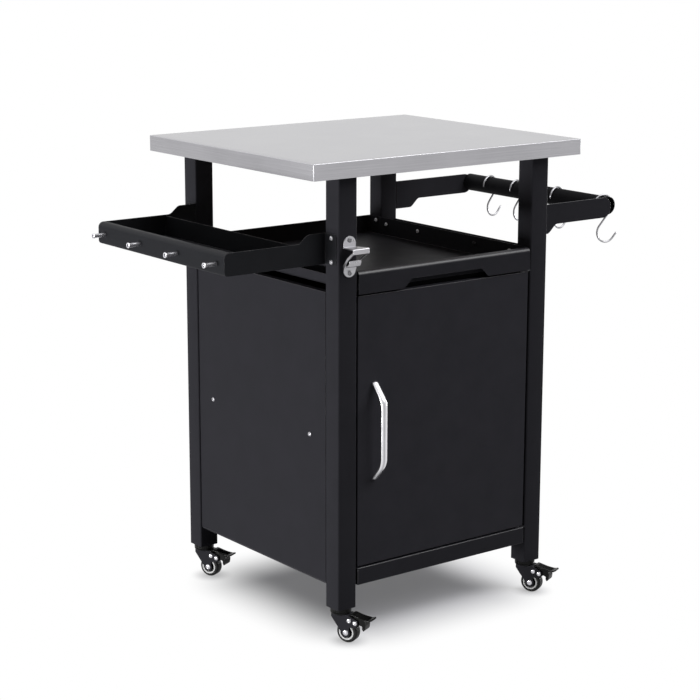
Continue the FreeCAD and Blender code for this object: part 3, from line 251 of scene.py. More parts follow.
tyreRubber = {"dark": 0.010, "light": 0.016, "rough": (0.42, 0.55), "grain": 700, "sheen": 0.12}
hubGrey = {"dark": 0.50, "light": 0.60, "rough": (0.35, 0.45), "grain": 800, "sheen": 0.5}
blackPlastic = {"dark": 0.0035, "light": 0.0060, "rough": (0.22, 0.34), "grain": 800, "sheen": 0.10}
mould = {"dust": 45, "relief": (0.25, 0.00006)}


def mouldedPlastic(name, look):
    # a fine moulded grain with a little dust in the slow noise
    plastic = Recipe(name, Specular_IOR_Level=look["sheen"])
    spot = plastic.place()
    fine = plastic.noise(spot, look["grain"], 2.0, 0.6)
    slow = plastic.noise(spot, mould["dust"], 3.0, 0.55)
    tone = plastic.ramp(fine * 0.4 + slow * 0.6, *noiseSpan)
    plastic.set("Base_Color", plastic.blend(tone, grey(look["dark"]), grey(look["light"])))
    plastic.set("Roughness", plastic.ramp(slow, *noiseSpan, *look["rough"]))
    plastic.bump(fine, *mould["relief"])
    return plastic.material


boardLook = {
    "dark": (0.30, 0.21, 0.13, 1), "light": (0.52, 0.40, 0.27, 1), "chips": (120, 260, 260),
    "flakes": 35, "rough": (0.75, 0.9), "relief": (0.3, 0.0002),
}


def rawBoard(name, look):
    # pressed board: pale and dark chips in two sizes
    board = Recipe(name)
    chips = board.noise(board.stretched(look["chips"]), 1.0, 5.0, 0.7)
    flakes = board.noise(board.place(), look["flakes"], 4.0, 0.6)
    mixed = board.ramp(chips * 0.6 + flakes * 0.4, 0.35, 0.65)
    board.set("Base_Color", board.blend(mixed, look["dark"], look["light"]))
    board.set("Roughness", board.ramp(chips, *noiseSpan, *look["rough"]))
    board.bump(chips, *look["relief"])
    return board.material


# the same metal or coat in another state than its slot's first one
metalStates = {
    "zincSteel": {"dark": 0.30, "light": 0.40, "rough": (0.28, 0.40)},
    "wireSteel": {"dark": 0.26, "light": 0.36, "rough": (0.24, 0.34)},
    "satinSteel": {"dark": 0.34, "light": 0.42, "rough": (0.26, 0.36), "scratch": 500},
    "pegSteel": {"dark": 0.66, "light": 0.76, "rough": (0.20, 0.28), "metallic": 0.80},
    "dullZinc": {"dark": 0.12, "light": 0.20, "rough": (0.32, 0.44)},
    "rivetSteel": {"dark": 0.50, "light": 0.62, "rough": (0.16, 0.24)},
}
coatStates = {
    "doorCoat": {"dark": (0.0270, 0.0266, 0.0318, 1), "light": (0.0320, 0.0314, 0.0376, 1)},
    "rackCoat": {"dark": (0.0152, 0.0158, 0.0180, 1), "light": (0.0182, 0.0186, 0.0212, 1)},
    "trayCoat": {"rim": 1.0},
    # a darker, duller coat for the rail tube: painted shade where the cart's body keeps the light off it
    "barCoat": {"dark": (0.0072, 0.0072, 0.0082, 1), "light": (0.0090, 0.0089, 0.0101, 1),
                "sheen": 0.01, "upper": 0.04, "rim": 0.04},
    # a paler, glossier coat for the bevel faces: a painted highlight along every edge
    "edgeCoat": {"dark": (0.040, 0.0395, 0.0450, 1), "light": (0.055, 0.0545, 0.0610, 1),
                 "sheen": 0.5, "rough": (0.30, 0.40)},
    # a near-black coat for the door stop rail: painted shade in the recess behind the apron's notch
    "innerCoat": {"dark": (0.0030, 0.0030, 0.0034, 1), "light": (0.0040, 0.0040, 0.0045, 1),
                  "sheen": 0.01},
    "blackScrew": {"sheen": 0.2, "rough": (0.35, 0.45)},
}
metals = {name: brightMetal(name, dict(brightLook, **state)) for name, state in metalStates.items()}
coats = {name: powderCoat(name, dict(powderLook, **state)) for name, state in coatStates.items()}
finishes = {
    "black_steel": powderCoat("powderCoat", powderLook),
    "stainless": brushedSheet("brushedStainless", topLook),
    "bright_steel": brightMetal("brightSteel", brightLook),
    "zinc_steel": metals["zincSteel"],
    "board": rawBoard("pressedBoard", boardLook),
    "tyre": mouldedPlastic("tyreRubber", tyreRubber),
    "hub": mouldedPlastic("hubGrey", hubGrey),
    "black_plastic": mouldedPlastic("blackPlastic", blackPlastic),
}
print("materials made:", len(finishes), "for the slots and", len(metals) + len(coats), "other states")


class Shape:
    # points and faces worked out as arrays; several shapes can be one piece
    def __init__(self, points, quads, rims=()):
        self.points = np.asarray(points, float).reshape(-1, 3)
        self.quads = np.asarray(quads, int).reshape(-1, 4)
        self.rims = [np.asarray(rim, int) for rim in rims]

    def moved(self, matrix):
        full = np.array(matrix)
        return Shape(self.points @ full[:3, :3].T + full[:3, 3], self.quads, self.rims)

    def __add__(self, other):
        shift = len(self.points)
        points = np.vstack([self.points, other.points])
        quads = np.vstack([self.quads, other.quads + shift])
        return Shape(points, quads, self.rims + [rim + shift for rim in other.rims])


def gridShape(points, ring=False):
    # rows run along the shape, columns run round it; each cell of the grid is one face, and
    # the first and last rows are closed by a face, unless the rows meet in a ring
    rows, columns = points.shape[:2]
    number = np.arange(rows * columns).reshape(rows, columns)
    here = number if ring else number[:-1]
    ahead = np.roll(number, -1, axis=0) if ring else number[1:]
    cells = np.stack([here, np.roll(here, -1, axis=1), np.roll(ahead, -1, axis=1), ahead], axis=-1)
    return Shape(points, cells, [] if ring else [number[0][::-1], number[-1]])


def turnedShape(profile, sides, ring=False):
    # a profile of (radius, height) turned round Z: x = r cos t, y = r sin t
    profile = np.array(profile, float)
    angle = np.arange(sides) * 2 * math.pi / sides
    radius, height = profile[:, :1], np.repeat(profile[:, 1:], sides, axis=1)
    return gridShape(np.stack([radius * np.cos(angle), radius * np.sin(angle), height], axis=-1), ring)


def roundedCorners(outline, radii, steps=4):
    # each corner becomes an arc that touches its two sides: centre at radius / sin(half angle)
    outline = np.array(outline, float)
    made = []
    for n, corner in enumerate(outline):
        radius = radii[n] if hasattr(radii, "__len__") else radii
        back = outline[n - 1] - corner
        ahead = outline[(n + 1) % len(outline)] - corner
        back /= np.linalg.norm(back)
        ahead /= np.linalg.norm(ahead)
        half = math.acos(np.clip(back @ ahead, -1, 1)) / 2
        if radius <= 0 or abs(half - math.pi / 2) < 1e-4:
            made.append(corner[None])
            continue
        centre = corner + (back + ahead) / np.linalg.norm(back + ahead) * radius / math.sin(half)
        start = corner + back * radius / math.tan(half) - centre
        end = corner + ahead * radius / math.tan(half) - centre
        sweep = math.atan2(start[0] * end[1] - start[1] * end[0], start @ end)
        turn = sweep * np.linspace(0, 1, steps + 1)[:, None]
        side = np.array([-start[1], start[0]])
        made.append(centre + start * np.cos(turn) + side * np.sin(turn))
    return np.vstack(made)


def roundedRing(halfX, halfY, radius, level, steps=5):
    # a rectangle with rounded corners at one height
    corners = [(halfX, -halfY), (halfX, halfY), (-halfX, halfY), (-halfX, -halfY)]
    ring = roundedCorners(corners, max(radius, 1e-5), steps)
    return np.column_stack([ring, np.full(len(ring), level)])


def sweptShape(path, section, flatNormal, scales=None):
    # section (a, b) is carried along a flat path: a lies along the path's fixed normal,
    # b across the path in its plane
    path = np.array(path, float)
    run = np.gradient(path, axis=0)
    run /= np.linalg.norm(run, axis=1)[:, None]
    normal = np.array(flatNormal, float)
    side = np.cross(run, normal)
    side /= np.linalg.norm(side, axis=1)[:, None]
    section = np.array(section, float)
    factor = np.ones((len(path), 1, 1)) if scales is None else np.array(scales, float).reshape(-1, 1, 1)
    offsets = section[None, :, :1] * normal + section[None, :, 1:] * side[:, None, :]
    return gridShape(path[:, None, :] + offsets * factor)


def joined(shapes):
    # one shape of several, in their order
    whole = shapes[0]
    for shape in shapes[1:]:
        whole = whole + shape
    return whole


slotOf = {row["node"]: row["material_slot"] for row in frame["record"]["subparts"]}
bodyOf = {node: body for body, nodes in frame["record"]["behaviour"]["bodies"].items() for node in nodes}

# every CAD node takes its slot's finish, whether or not a finer piece covers it later
for node, thing in frame["nodes"].items():
    thing.data.materials.clear()
    thing.data.materials.append(finishes[slotOf[node]])


def finishPiece(name, mesh, body, slot, nodes, sharp, finish):
    mesh.shade_smooth()
    mesh.set_sharp_from_angle(angle=math.radians(sharp))
    mesh.materials.clear()
    mesh.materials.append(finish or finishes[slot])
    piece = bpy.data.objects.new(name, mesh)
    bpy.context.scene.collection.objects.link(piece)
    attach(piece, body)
    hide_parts(*nodes)
    return piece


def makePiece(name, shape, body, slot, nodes, sharp=35, finish=None):
    mesh = bpy.data.meshes.new(name)
    faces = shape.quads.tolist() + [rim.tolist() for rim in shape.rims]
    mesh.from_pydata(shape.points.tolist(), [], faces)
    mesh.validate()
    tool = bmesh.new()
    tool.from_mesh(mesh)
    bmesh.ops.remove_doubles(tool, verts=tool.verts, dist=1e-7)
    bmesh.ops.recalc_face_normals(tool, faces=tool.faces)
    tool.to_mesh(mesh)
    tool.free()
    finishPiece(name, mesh, body, slot, nodes, sharp, finish)


softLook = {"weld": 2e-6, "flat": 0.6, "fold": 30}     # metres, then two angles in degrees


def softenNode(node, width, segments=2, finish=None):
    # a copy of a CAD node, its loose triangles joined, with rounded edges
    mesh = frame["nodes"][node].data.copy()
    tool = bmesh.new()
    tool.from_mesh(mesh)
    bmesh.ops.remove_doubles(tool, verts=tool.verts, dist=softLook["weld"])
    flat = math.radians(softLook["flat"])
    bmesh.ops.dissolve_limit(tool, angle_limit=flat, verts=tool.verts, edges=tool.edges)
    tool.to_mesh(mesh)
    tool.free()
    slot = slotOf[node]
    piece = finishPiece(node + "_soft", mesh, bodyOf[node], slot, [node], 35, finish)
    rounding = piece.modifiers.new("rounding", "BEVEL")
    rounding.width = width
    rounding.segments = segments
    rounding.limit_method = "ANGLE"
    rounding.angle_limit = math.radians(softLook["fold"])
    rounding.miter_outer = "MITER_ARC"
    if slot == "black_steel":
        mesh.materials.append(coats["edgeCoat"])        # the bevel faces take a paler coat with more sheen, a painted highlight along the edges
        rounding.material = 1
    level = piece.modifiers.new("flatFaces", "WEIGHTED_NORMAL")
    level.keep_sharp = True


foldLook = {
    "middle_tray": 0.0005, "side_rail_left": 0.0004, "side_rail_right": 0.0004,
    "door_stop_rail": 0.0004, "side_panel_left": 0.0008, "side_panel_right": 0.0008,
    "back_panel": 0.0008, "bottom_panel": 0.0009, "inner_shelf": 0.0008,
    "door_panel": 0.0005, "spice_rack": 0.0004, "handle_arm_front": 0.0004,
    "handle_arm_back": 0.0004, "hinge_bracket_bottom": 0.0004, "hinge_bracket_top": 0.0004,
}
foldCoat = {
    # the door stop rail takes the near-black coat, painted shade
    "door_panel": "doorCoat", "door_stop_rail": "innerCoat",
    "middle_tray": "trayCoat", "spice_rack": "rackCoat",
}
for node, width in foldLook.items():
    softenNode(node, width, finish=coats.get(foldCoat.get(node)))
print("sheet metal softened:", len(foldLook))

skinLook = {
    "edge": 0.0013, "corner": 0.0012, "hem": 0.0006, "wall": 0.0012, "roof": 0.0011,
    "lip": 0.016, "sheet": 0.0010, "near": 0.02, "far": 0.16,
}


def tabletopSkin(look):
    # rings round the top: inset and level follow the folded section from the middle
    # of the upper face over the edge, down the skirt and back under the board
    low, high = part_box("tabletop_skin")
    halfX, halfY, top, foot = high[0], high[1], high[2], low[2]
    edge, hem, wall, lip = look["edge"], look["hem"], look["wall"], look["lip"]
    bend = np.radians(np.linspace(90, 0, 7))
    section = [(look["far"], top), (look["near"], top)]
    section += [(edge - edge * math.cos(t), top - edge + edge * math.sin(t)) for t in bend]
    section += [(0, foot + hem), (hem * 0.3, foot + hem * 0.3), (hem, foot)]
    section += [(lip - 0.0002, foot), (lip, foot + 0.0003), (lip, foot + look["sheet"])]
    section += [(wall, foot + look["sheet"]), (wall, top - look["roof"]), (look["far"], top - look["roof"])]
    corner = look["corner"]
    rings = [roundedRing(halfX - inset, halfY - inset, corner - inset, level) for inset, level in section]
    return gridShape(np.array(rings))


makePiece("tabletopSkin", tabletopSkin(skinLook), "frame", "stainless", ["tabletop_skin"], sharp=50)
print("tabletop folded")

postLook = {
    "corner": 0.0030, "wall": 0.0015, "wider": 0.001, "edge": 0.0004, "plate": 0.0035,
    "plateCorner": 0.004, "plateEdge": 0.0002,
}


def postTube(node, look):
    # rounded rectangle carried up the tube, then the inner wall back down; the plate on top
    low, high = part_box(node)
    centre = (low + high) / 2
    halfY = (high[1] - low[1]) / 2
    halfX = halfY + look["wider"]
    plate = high[2] - look["plate"]
    edge, wall, corner = look["edge"], look["wall"], look["corner"]
    walls = [(edge, low[2]), (0, low[2] + edge), (0, plate), (wall, plate), (wall, low[2])]
    tube = gridShape(np.array([
        roundedRing(halfX - inset, halfY - inset, corner if inset < wall else corner - wall, level, 6)
        for inset, level in walls
    ]), ring=True)
    ends = [(edge, plate), (0, plate + edge), (0, high[2] - look["plateEdge"]), (look["plateEdge"], high[2])]
    pad = gridShape(np.array([
        roundedRing((high[0] - low[0]) / 2 - inset, halfY - inset, look["plateCorner"], level, 6)
        for inset, level in ends
    ]))
    return (tube + pad).moved(Matrix.Translation((centre[0], centre[1], 0)))


for node in ("post_front_left", "post_front_right", "post_back_left", "post_back_right"):
    makePiece(node + "_tube", postTube(node, postLook), "frame", "black_steel", [node], sharp=40)
print("posts drawn")

smallHook = {"lean": 42, "run": 0.0255, "lower": 0.018, "tip": 0.016, "turn": 8}
largeHook = {"lean": 40, "run": 0.035, "lower": 0.0197, "tip": 0.014, "turn": -12}
hookLook = {
    "wire": 0.0018, "upper": 0.020, "start": 182, "sweep": 180, "sides": 16, "below": 0.0009,
    "y": (-0.189, -0.0595, 0.0595, 0.140),
}


def arcPoints(centre, radius, start, end, steps):
    # points on a circle in the XZ plane, from one angle to another in degrees
    angle = np.radians(np.linspace(start, end, steps))
    centre = np.array(centre, float)
    return centre + radius * np.stack([np.cos(angle), angle * 0, np.sin(angle)], axis=-1)


def hookShape(look, wire):
    # an arc over the bar down to the lean angle, a straight run, a lower arc the other way
    # round and a straight tip, carried on with domed ends
    lean = math.radians(look["lean"])
    outward = np.array([math.cos(lean), 0, -math.sin(lean)])
    ahead = np.array([-math.sin(lean), 0, -math.cos(lean)])
    top = arcPoints((0, 0, 0), wire["upper"], wire["start"], -look["lean"], 36)
    below = outward * (wire["upper"] + look["lower"]) + ahead * look["run"]
    first = 180 - look["lean"]
    last = first + wire["sweep"]
    bottom = arcPoints(below, look["lower"], first, last, 32)
    run = np.linspace(top[-1], bottom[0], 6)[1:-1]
    way = np.array([-math.sin(math.radians(last)), 0, math.cos(math.radians(last))])
    tip = bottom[-1] + way * look["tip"] * np.array([0.3, 0.6, 0.9, 0.95, 1.0])[:, None]
    path = np.vstack([top, run, bottom, tip])
    angle = np.arange(wire["sides"]) * 2 * math.pi / wire["sides"]
    section = np.column_stack([np.cos(angle), np.sin(angle)]) * wire["wire"]
    dome = np.array([0.35, 0.72, 0.93])
    scales = np.concatenate([dome, np.ones(len(path) - 2 * len(dome)), dome[::-1]])
    return sweptShape(path, section, (0, 1, 0), scales)


barLow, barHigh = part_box("handle_bar")
barMiddle = (barLow + barHigh) / 2
for n, y in enumerate(hookLook["y"], start=1):
    look = largeHook if n == 1 else smallHook
    wire = hookShape(look, hookLook).moved(Matrix.Rotation(math.radians(look["turn"]), 4, "Z"))
    wire = wire.moved(Matrix.Translation((barMiddle[0], y, barMiddle[2] - hookLook["below"])))
    makePiece(f"hookWire{n}", wire, f"hook_{n}", "bright_steel", [f"s_hook_{n}"], finish=metals["wireSteel"])
print("hooks bent")

railLook = {"wall": 0.0015, "sides": 56, "edge": 0.0003}


def railTube(look):
    # a ring profile of tube wall, turned and laid along Y
    radius, half = (barHigh[0] - barLow[0]) / 2, (barHigh[1] - barLow[1]) / 2
    inner = radius - look["wall"]
    corners = [(inner, -half), (radius, -half), (radius, half), (inner, half)]
    tube = turnedShape(roundedCorners(corners, look["edge"], 2), look["sides"], ring=True)
    return tube.moved(Matrix.Translation(barMiddle) @ Matrix.Rotation(math.radians(90), 4, "X"))


# the rail tube takes the darker coat, painted shade
makePiece("railTube", railTube(railLook), "frame", "black_steel", ["handle_bar"], finish=coats["barCoat"])

gripLook = {
    "wide": 0.0130, "thick": 0.0082, "power": 2.1, "bend": 0.032, "foot": 0.003, "footBend": 0.0045,
    "flat": 0.057, "sides": 40, "bandShift": -0.0022, "band": (0.0008, 0.0036, 0.76),
}


def pathWithBends(points, radii, steps=10):
    # straight runs joined by arcs that touch them, in the plane of the points
    points = np.array(points, float)
    made = [points[0][None]]
    for n in range(1, len(points) - 1):
        corner = points[n]
        back = points[n - 1] - corner
        ahead = points[n + 1] - corner
        back /= np.linalg.norm(back)
        ahead /= np.linalg.norm(ahead)
        half = math.acos(np.clip(back @ ahead, -1, 1)) / 2
        radius = radii[n - 1]
        centre = corner + (back + ahead) / np.linalg.norm(back + ahead) * radius / math.sin(half)
        start = corner + back * radius / math.tan(half) - centre
        end = corner + ahead * radius / math.tan(half) - centre
        turn = math.acos(np.clip(start @ end / radius ** 2, -1, 1))
        part = np.linspace(0, 1, steps)[:, None]
        made.append(centre + (start * np.sin((1 - part) * turn) + end * np.sin(part * turn)) / math.sin(turn))
    made.append(points[-1][None])
    return np.vstack(made)


def gripShape(look, low, high):
    # section: |a / halfX| ^ power + |b / halfZ| ^ power = 1, carried from foot to foot
    halfX, halfZ = look["wide"] / 2, look["thick"] / 2
    x, face, out = (low[0] + high[0]) / 2, high[1], low[1] + halfZ
    middle = (low[2] + high[2]) / 2
    span = (high[2] - low[2]) / 2 - halfZ
    flat = look["flat"]
    points = [
        (x, face, middle + span), (x, face - look["foot"], middle + span), (x, out, middle + flat),
        (x, out, middle - flat), (x, face - look["foot"], middle - span), (x, face, middle - span),
    ]
    path = pathWithBends(points, [look["footBend"], look["bend"], look["bend"], look["footBend"]])
    turn = np.arange(look["sides"]) * 2 * math.pi / look["sides"]
    around = np.stack([np.cos(turn), np.sin(turn)], axis=-1)
    section = np.sign(around) * abs(around) ** (2 / look["power"]) * (halfX, halfZ)
    return sweptShape(path, section, (1, 0, 0))


gripLow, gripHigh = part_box("door_handle")
# the grip's steel is painted paler along both sides, a painted highlight
highlightLine = (gripLow[0] + gripHigh[0]) / 2 + gripLook["bandShift"]
gripSteel = brightMetal("gripSteel", dict(brightLook, band=(highlightLine, *gripLook["band"])))
grip = gripShape(gripLook, gripLow, gripHigh)
makePiece("doorGrip", grip, "door", "bright_steel", ["door_handle"], finish=gripSteel)
print("door handle bent")


def solidBoxes(node):
    # the box of each loose part of a node: points that share a face get the same, lowest number
    mesh = frame["nodes"][node].data
    points = np.empty(len(mesh.vertices) * 3)
    mesh.vertices.foreach_get("co", points)
    same, part = np.unique(np.round(points.reshape(-1, 3), 6), axis=0, return_inverse=True)
    corners = np.empty(len(mesh.loops), int)
    mesh.loops.foreach_get("vertex_index", corners)
    faces = part.reshape(-1)[corners.reshape(-1, 3)]
    label = np.arange(len(same))
    while True:
        lowest = label[faces].min(axis=1)
        fresh = label.copy()
        for side in range(3):
            np.minimum.at(fresh, faces[:, side], lowest)
        if np.array_equal(fresh, label):
            break
        label = fresh
    return [(same[label == n].min(axis=0), same[label == n].max(axis=0)) for n in np.unique(label)]


screwLook = {
    "radius": 0.0042, "rise": 0.0024, "rim": 0.35, "shank": 0.0023, "point": 0.0004, "sides": 40,
    "slot": 0.0010, "reach": 0.0027, "deep": 0.0011, "slotEdge": 0.00012, "reachEdge": 0.00015,
}


def screwShape(look, length):
    # a pan head from (r, t): height falls with the fourth power of r, less a cross of two
    # bars with soft edges; below it the rim and a plain shank
    share = np.array([0.06, 0.16, 0.24, 0.32, 0.42, 0.52, 0.60, 0.68, 0.78, 0.88, 0.95, 0.99, 1.0])
    sides = look["sides"]
    angle = np.arange(sides) * 2 * math.pi / sides
    radius = (share * look["radius"])[:, None]
    x, y = radius * np.cos(angle), radius * np.sin(angle)
    dome = look["rim"] + (1 - look["rim"]) * (1 - share ** 4)
    high = np.repeat(dome, sides).reshape(-1, sides) * look["rise"]
    narrow = np.minimum(abs(x), abs(y))
    far = np.maximum(abs(x), abs(y))
    inSlot = 1 / (1 + np.exp((narrow - look["slot"] / 2) / look["slotEdge"]))
    inReach = 1 / (1 + np.exp((far - look["reach"]) / look["reachEdge"]))
    head = np.stack([x, y, high - look["deep"] * inSlot * inReach], axis=-1)
    shank = look["shank"]
    under = [(look["radius"], 0.0), (shank, 0.0), (shank, look["point"] - length), (shank * 0.7, -length)]
    rows = [np.stack([r * np.cos(angle), r * np.sin(angle), np.full(sides, z)], axis=-1) for r, z in under]
    return gridShape(np.concatenate([head, np.array(rows)]))


def facing(point, way, spin=0.0):
    # turns +Z to the way given and carries the shape to the point
    turn = Vector(way).to_track_quat("Z", "Y").to_matrix().to_4x4()
    return Matrix.Translation(point) @ turn @ Matrix.Rotation(spin, 4, "Z")


screwPieces = {
    "frame_screws": ("frame", "zinc_steel"), "tabletop_screws": ("frame", "zinc_steel"),
    "opener_screws": ("frame", "bright_steel"), "handle_screws": ("door", "zinc_steel"),
}
headWay = {"tabletop_screws": -1, "opener_screws": -1, "handle_screws": 1}      # frame screws: see below
driveLimit = 0.225      # frame screws nearer to the middle than this are driven from the middle
blackRail = {"x": (0.19, 0.225), "y": (-0.18, 0)}       # the front half of the right rail
spins = np.random.default_rng(7)
for node, (body, slot) in screwPieces.items():
    plain, black = [], []
    for low, high in solidBoxes(node):
        span = high - low
        axis = int(np.argmax(abs(span - np.median(span))))
        x, y = (low + high)[:2] / 2
        way = np.zeros(3)
        way[axis] = headWay.get(node, np.sign(x))
        if node == "frame_screws" and abs(x) < driveLimit:
            way[axis] = -way[axis]
        top = (low + high) / 2 + way * span[axis] / 2
        seat = facing(top - way * screwLook["rise"], way, spins.uniform(0, 1.5))
        one = screwShape(screwLook, span[axis] - screwLook["rise"]).moved(seat)
        inRail = blackRail["x"][0] < x < blackRail["x"][1] and blackRail["y"][0] < y < blackRail["y"][1]
        (black if node == "frame_screws" and inRail else plain).append(one)
    finish = metals["dullZinc"] if node == "opener_screws" else None
    makePiece(node + "_cross", joined(plain), body, slot, [node], sharp=50, finish=finish)
    if black:
        finish = coats["blackScrew"]
        makePiece(node + "_black", joined(black), body, "black_steel", [node], sharp=50, finish=finish)
print("screws turned")

pegLook = {
    "radius": 0.0038, "flare": 0.0048, "long": 0.026, "bore": 0.0026, "deep": 0.007, "sides": 36,
    "stud": [(0.0023, -0.0062), (0.0023, 0)],
    "nut": [(0.0036, -0.0042), (0.0042, -0.0039), (0.0042, -0.0015), (0.0036, -0.0012)],
}


def pegShape(look):
    # profile of (radius, height): shank, swollen rim, rounded lip and the bore behind it
    r, f, n, b = look["radius"], look["flare"], look["long"], look["bore"]
    rod = [(r, 0), (r, n - 0.0032), (r + 0.0003, n - 0.0027)]
    rim = [(f, n - 0.0022), (f + 0.0001, n - 0.0012), (f - 0.0002, n - 0.0003), (f - 0.0007, n)]
    lip = [(b + 0.0006, n), (b + 0.0001, n - 0.0004), (b, n - 0.0012)]
    bore = [(b, n - look["deep"]), (b * 0.4, n - look["deep"] - 0.0006)]
    peg = turnedShape(rod + rim + lip + bore, look["sides"])
    return peg + turnedShape(look["stud"], 16) + turnedShape(look["nut"], 6)


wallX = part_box("spice_rack")[0][0]
pegs = []
for low, high in solidBoxes("rack_pegs"):
    y, z = (low + high)[1:] / 2
    pegs.append(pegShape(pegLook).moved(facing((wallX, y, z), (-1, 0, 0))))
makePiece("hangingPegs", joined(pegs), "frame", "bright_steel", ["rack_pegs"], sharp=32,
          finish=metals["pegSteel"])
print("pegs turned")

smallEdges = {
    "bottle_opener": 0.0006, "magnet_catch": 0.0006, "strike_plate": 0.0003,
    "caster_sockets": 0.0005, "hinge_pins": 0.0003,
}
for node, width in smallEdges.items():
    softenNode(node, width, 3, metals["satinSteel"] if node == "bottle_opener" else None)

casterLook = {
    "turn": 295, "trail": 0.016, "wheel": 0.020, "pivot": (0.0345, 0.0405), "rivet": (0.0225, 0.0433),
    "forkEdge": 0.0006,
    "at": {"front_left": (-0.221, -0.223), "front_right": (0.221, -0.223),
           "back_left": (-0.221, 0.223), "back_right": (0.221, 0.223)},
}
wheelLook = {
    "inner": 0.0145, "half": 0.009, "shoulder": 0.0036, "heel": 0.0004, "sides": 56,
    "ring": 0.0115, "proud": 0.0098, "ringEdge": 0.0007,
}


def layAcross(shape, x, z):
    # from an axis along Z to the wheel's axle, which lies along Y at (x, z)
    return shape.moved(Matrix.Translation((x, 0, z)) @ Matrix.Rotation(math.radians(90), 4, "X"))


def bandShape(inner, outer, half, radii, steps, sides):
    # a rectangle with rounded corners, turned into a closed ring
    corners = [(inner, -half), (outer, -half), (outer, half), (inner, half)]
    return turnedShape(roundedCorners(corners, radii, steps), sides, ring=True)


def tyreShape(look, radius):
    heel, shoulder = look["heel"], look["shoulder"]
    return bandShape(look["inner"], radius, look["half"], [heel, shoulder, shoulder, heel], 7, look["sides"])


def rimShape(look):
    return bandShape(look["ring"], look["inner"], look["proud"], look["ringEdge"], 4, look["sides"])


discLook = {
    "bore": (0.0031, 0.0097), "edge": 0.0002, "edgeHigh": 0.0076, "sides": 48,
    "dish": [(0.0054, 0.0097), (0.0058, 0.0092), (0.0062, 0.0078), (0.0098, 0.0070)],
}


def discShape(look, ring):
    # a dished disc between the axle's bore and the light rim, with a raised boss
    side = [look["bore"]] + look["dish"] + [(ring + look["edge"], look["edgeHigh"])]
    profile = [(r, -y) for r, y in side] + [(r, y) for r, y in side[::-1]]
    return turnedShape(profile, look["sides"], ring=True)


boltLook = {
    "half": 0.0125, "sides": 28, "dome": (90, 70, 50, 32, 16),
    "dimple": ((0.22, 0.97), (0.16, 0.80), (0.04, 0.76)),
    "axle": (0.003, 0.0053, 0.0020), "pivot": (0.002, 0.0042, 0.0017),
}


def boltShape(look, radius, head, thick):
    # a rod with a domed head at each end: the head's height is a quarter of a circle over
    # its radius, with a shallow dimple in the middle
    half = look["half"]
    turn = np.radians(look["dome"])
    dome = [(head * math.sin(a), half + thick * (0.25 + 0.75 * math.cos(a))) for a in turn]
    dome += [(head * share, half + thick * high) for share, high in look["dimple"]]
    side = [(radius, half), (head * 0.97, half)] + dome
    profile = [(r, -y) for r, y in side[::-1]] + side
    return turnedShape(profile, look["sides"])


capLook = {
    "high": 0.010, "top": 0.063, "ridges": 30, "deep": 0.0005, "stemSides": 32,
    "stem": 0.0080, "neck": 0.0050, "stemTop": 0.0850, "gap": 0.0026,
    "rows": [(0.0052, 0, 0), (0.0172, 0, 0), (0.0184, 0.0004, 0), (0.0188, 0.0014, 0), (0.0188, 0.0028, 0),
             (0.0181, 0.0033, 0), (0.0181, 0.0040, 0), (0.0190, 0.0045, 0.6), (0.0190, 0.0052, 1),
             (0.0190, 0.0085, 1), (0.0189, 0.0092, 0.6), (0.0184, 0.0099, 0), (0.0052, 0.0100, 0)],
}


def capShape(look):
    # rows of (radius, height, ripple): r = radius less a ripple of cos(ridges t) that fades
    # out at both rims; the stem stands under the cap and runs up through it
    sides = look["ridges"] * 6
    angle = np.arange(sides) * 2 * math.pi / sides
    foot = look["top"] - look["high"]
    rows = []
    for r, z, ripple in look["rows"]:
        wave = r - look["deep"] * ripple * (1 + np.cos(look["ridges"] * angle)) / 2
        rows.append(np.stack([wave * np.cos(angle), wave * np.sin(angle), np.full(sides, foot + z)], axis=-1))
    cap = gridShape(np.array(rows), ring=True)
    collar = foot - look["gap"]
    r, neck, end = look["stem"], look["neck"], look["stemTop"]
    stem = [(r - 0.0008, collar - 0.0030), (r, collar - 0.0025), (r, collar - 0.0003), (r - 0.0004, collar),
            (neck, collar), (neck, end - 0.0005), (neck - 0.0005, end)]
    return cap + turnedShape(stem, look["stemSides"])


pedalLook = {
    "half": 0.0115, "narrow": 0.90, "widest": 0.02, "web": 0.0090,
    "ribs": 5, "ribDeep": 0.00045, "ribSpan": 0.80, "ribEnds": (-0.006, 0.0265), "fade": 0.003,
    # where the rounding starts, how long it is and the share of the width that it takes
    "tip": (0.0275, 0.006, 0.42), "heel": (-0.0085, 0.003, 0.22),
    # first and last place along the plate and the number of sections: shank, then toe
    "shank": (-0.0115, 0.024, 26), "toe": (0.025, 0.0335, 14),
    # heights of the plate's upper and under side along it, in millimetres
    "upper": [(-11.5, 14.0), (-9.5, 15.6), (-4, 14.6), (2, 12.9), (9.5, 11.0), (16.5, 9.9), (23.5, 9.2),
              (27.5, 9.9), (30.5, 11.1), (32.6, 11.0), (33.5, 10.0)],
    "under": [(-11.5, 13.4), (-9.5, 12.9), (-4, 11.6), (2, 10.0), (9.5, 8.2), (16.5, 7.1), (23.5, 6.0),
              (27.5, 6.8), (30.5, 7.8), (32.6, 8.6), (33.5, 9.8)],
    # the web's outline and the radius of each corner, in millimetres
    "outline": [(-4.5, 10), (9.5, 9.0), (17.5, 7.5), (20, -2), (19, -10), (15.5, -14), (13, -10), (13, -4.5),
                (7.5, -3), (1.5, -9.3), (-4.5, -2)],
    "corners": [1, 0, 1, 3, 4, 1.2, 2, 2, 2, 1.2, 3],
}


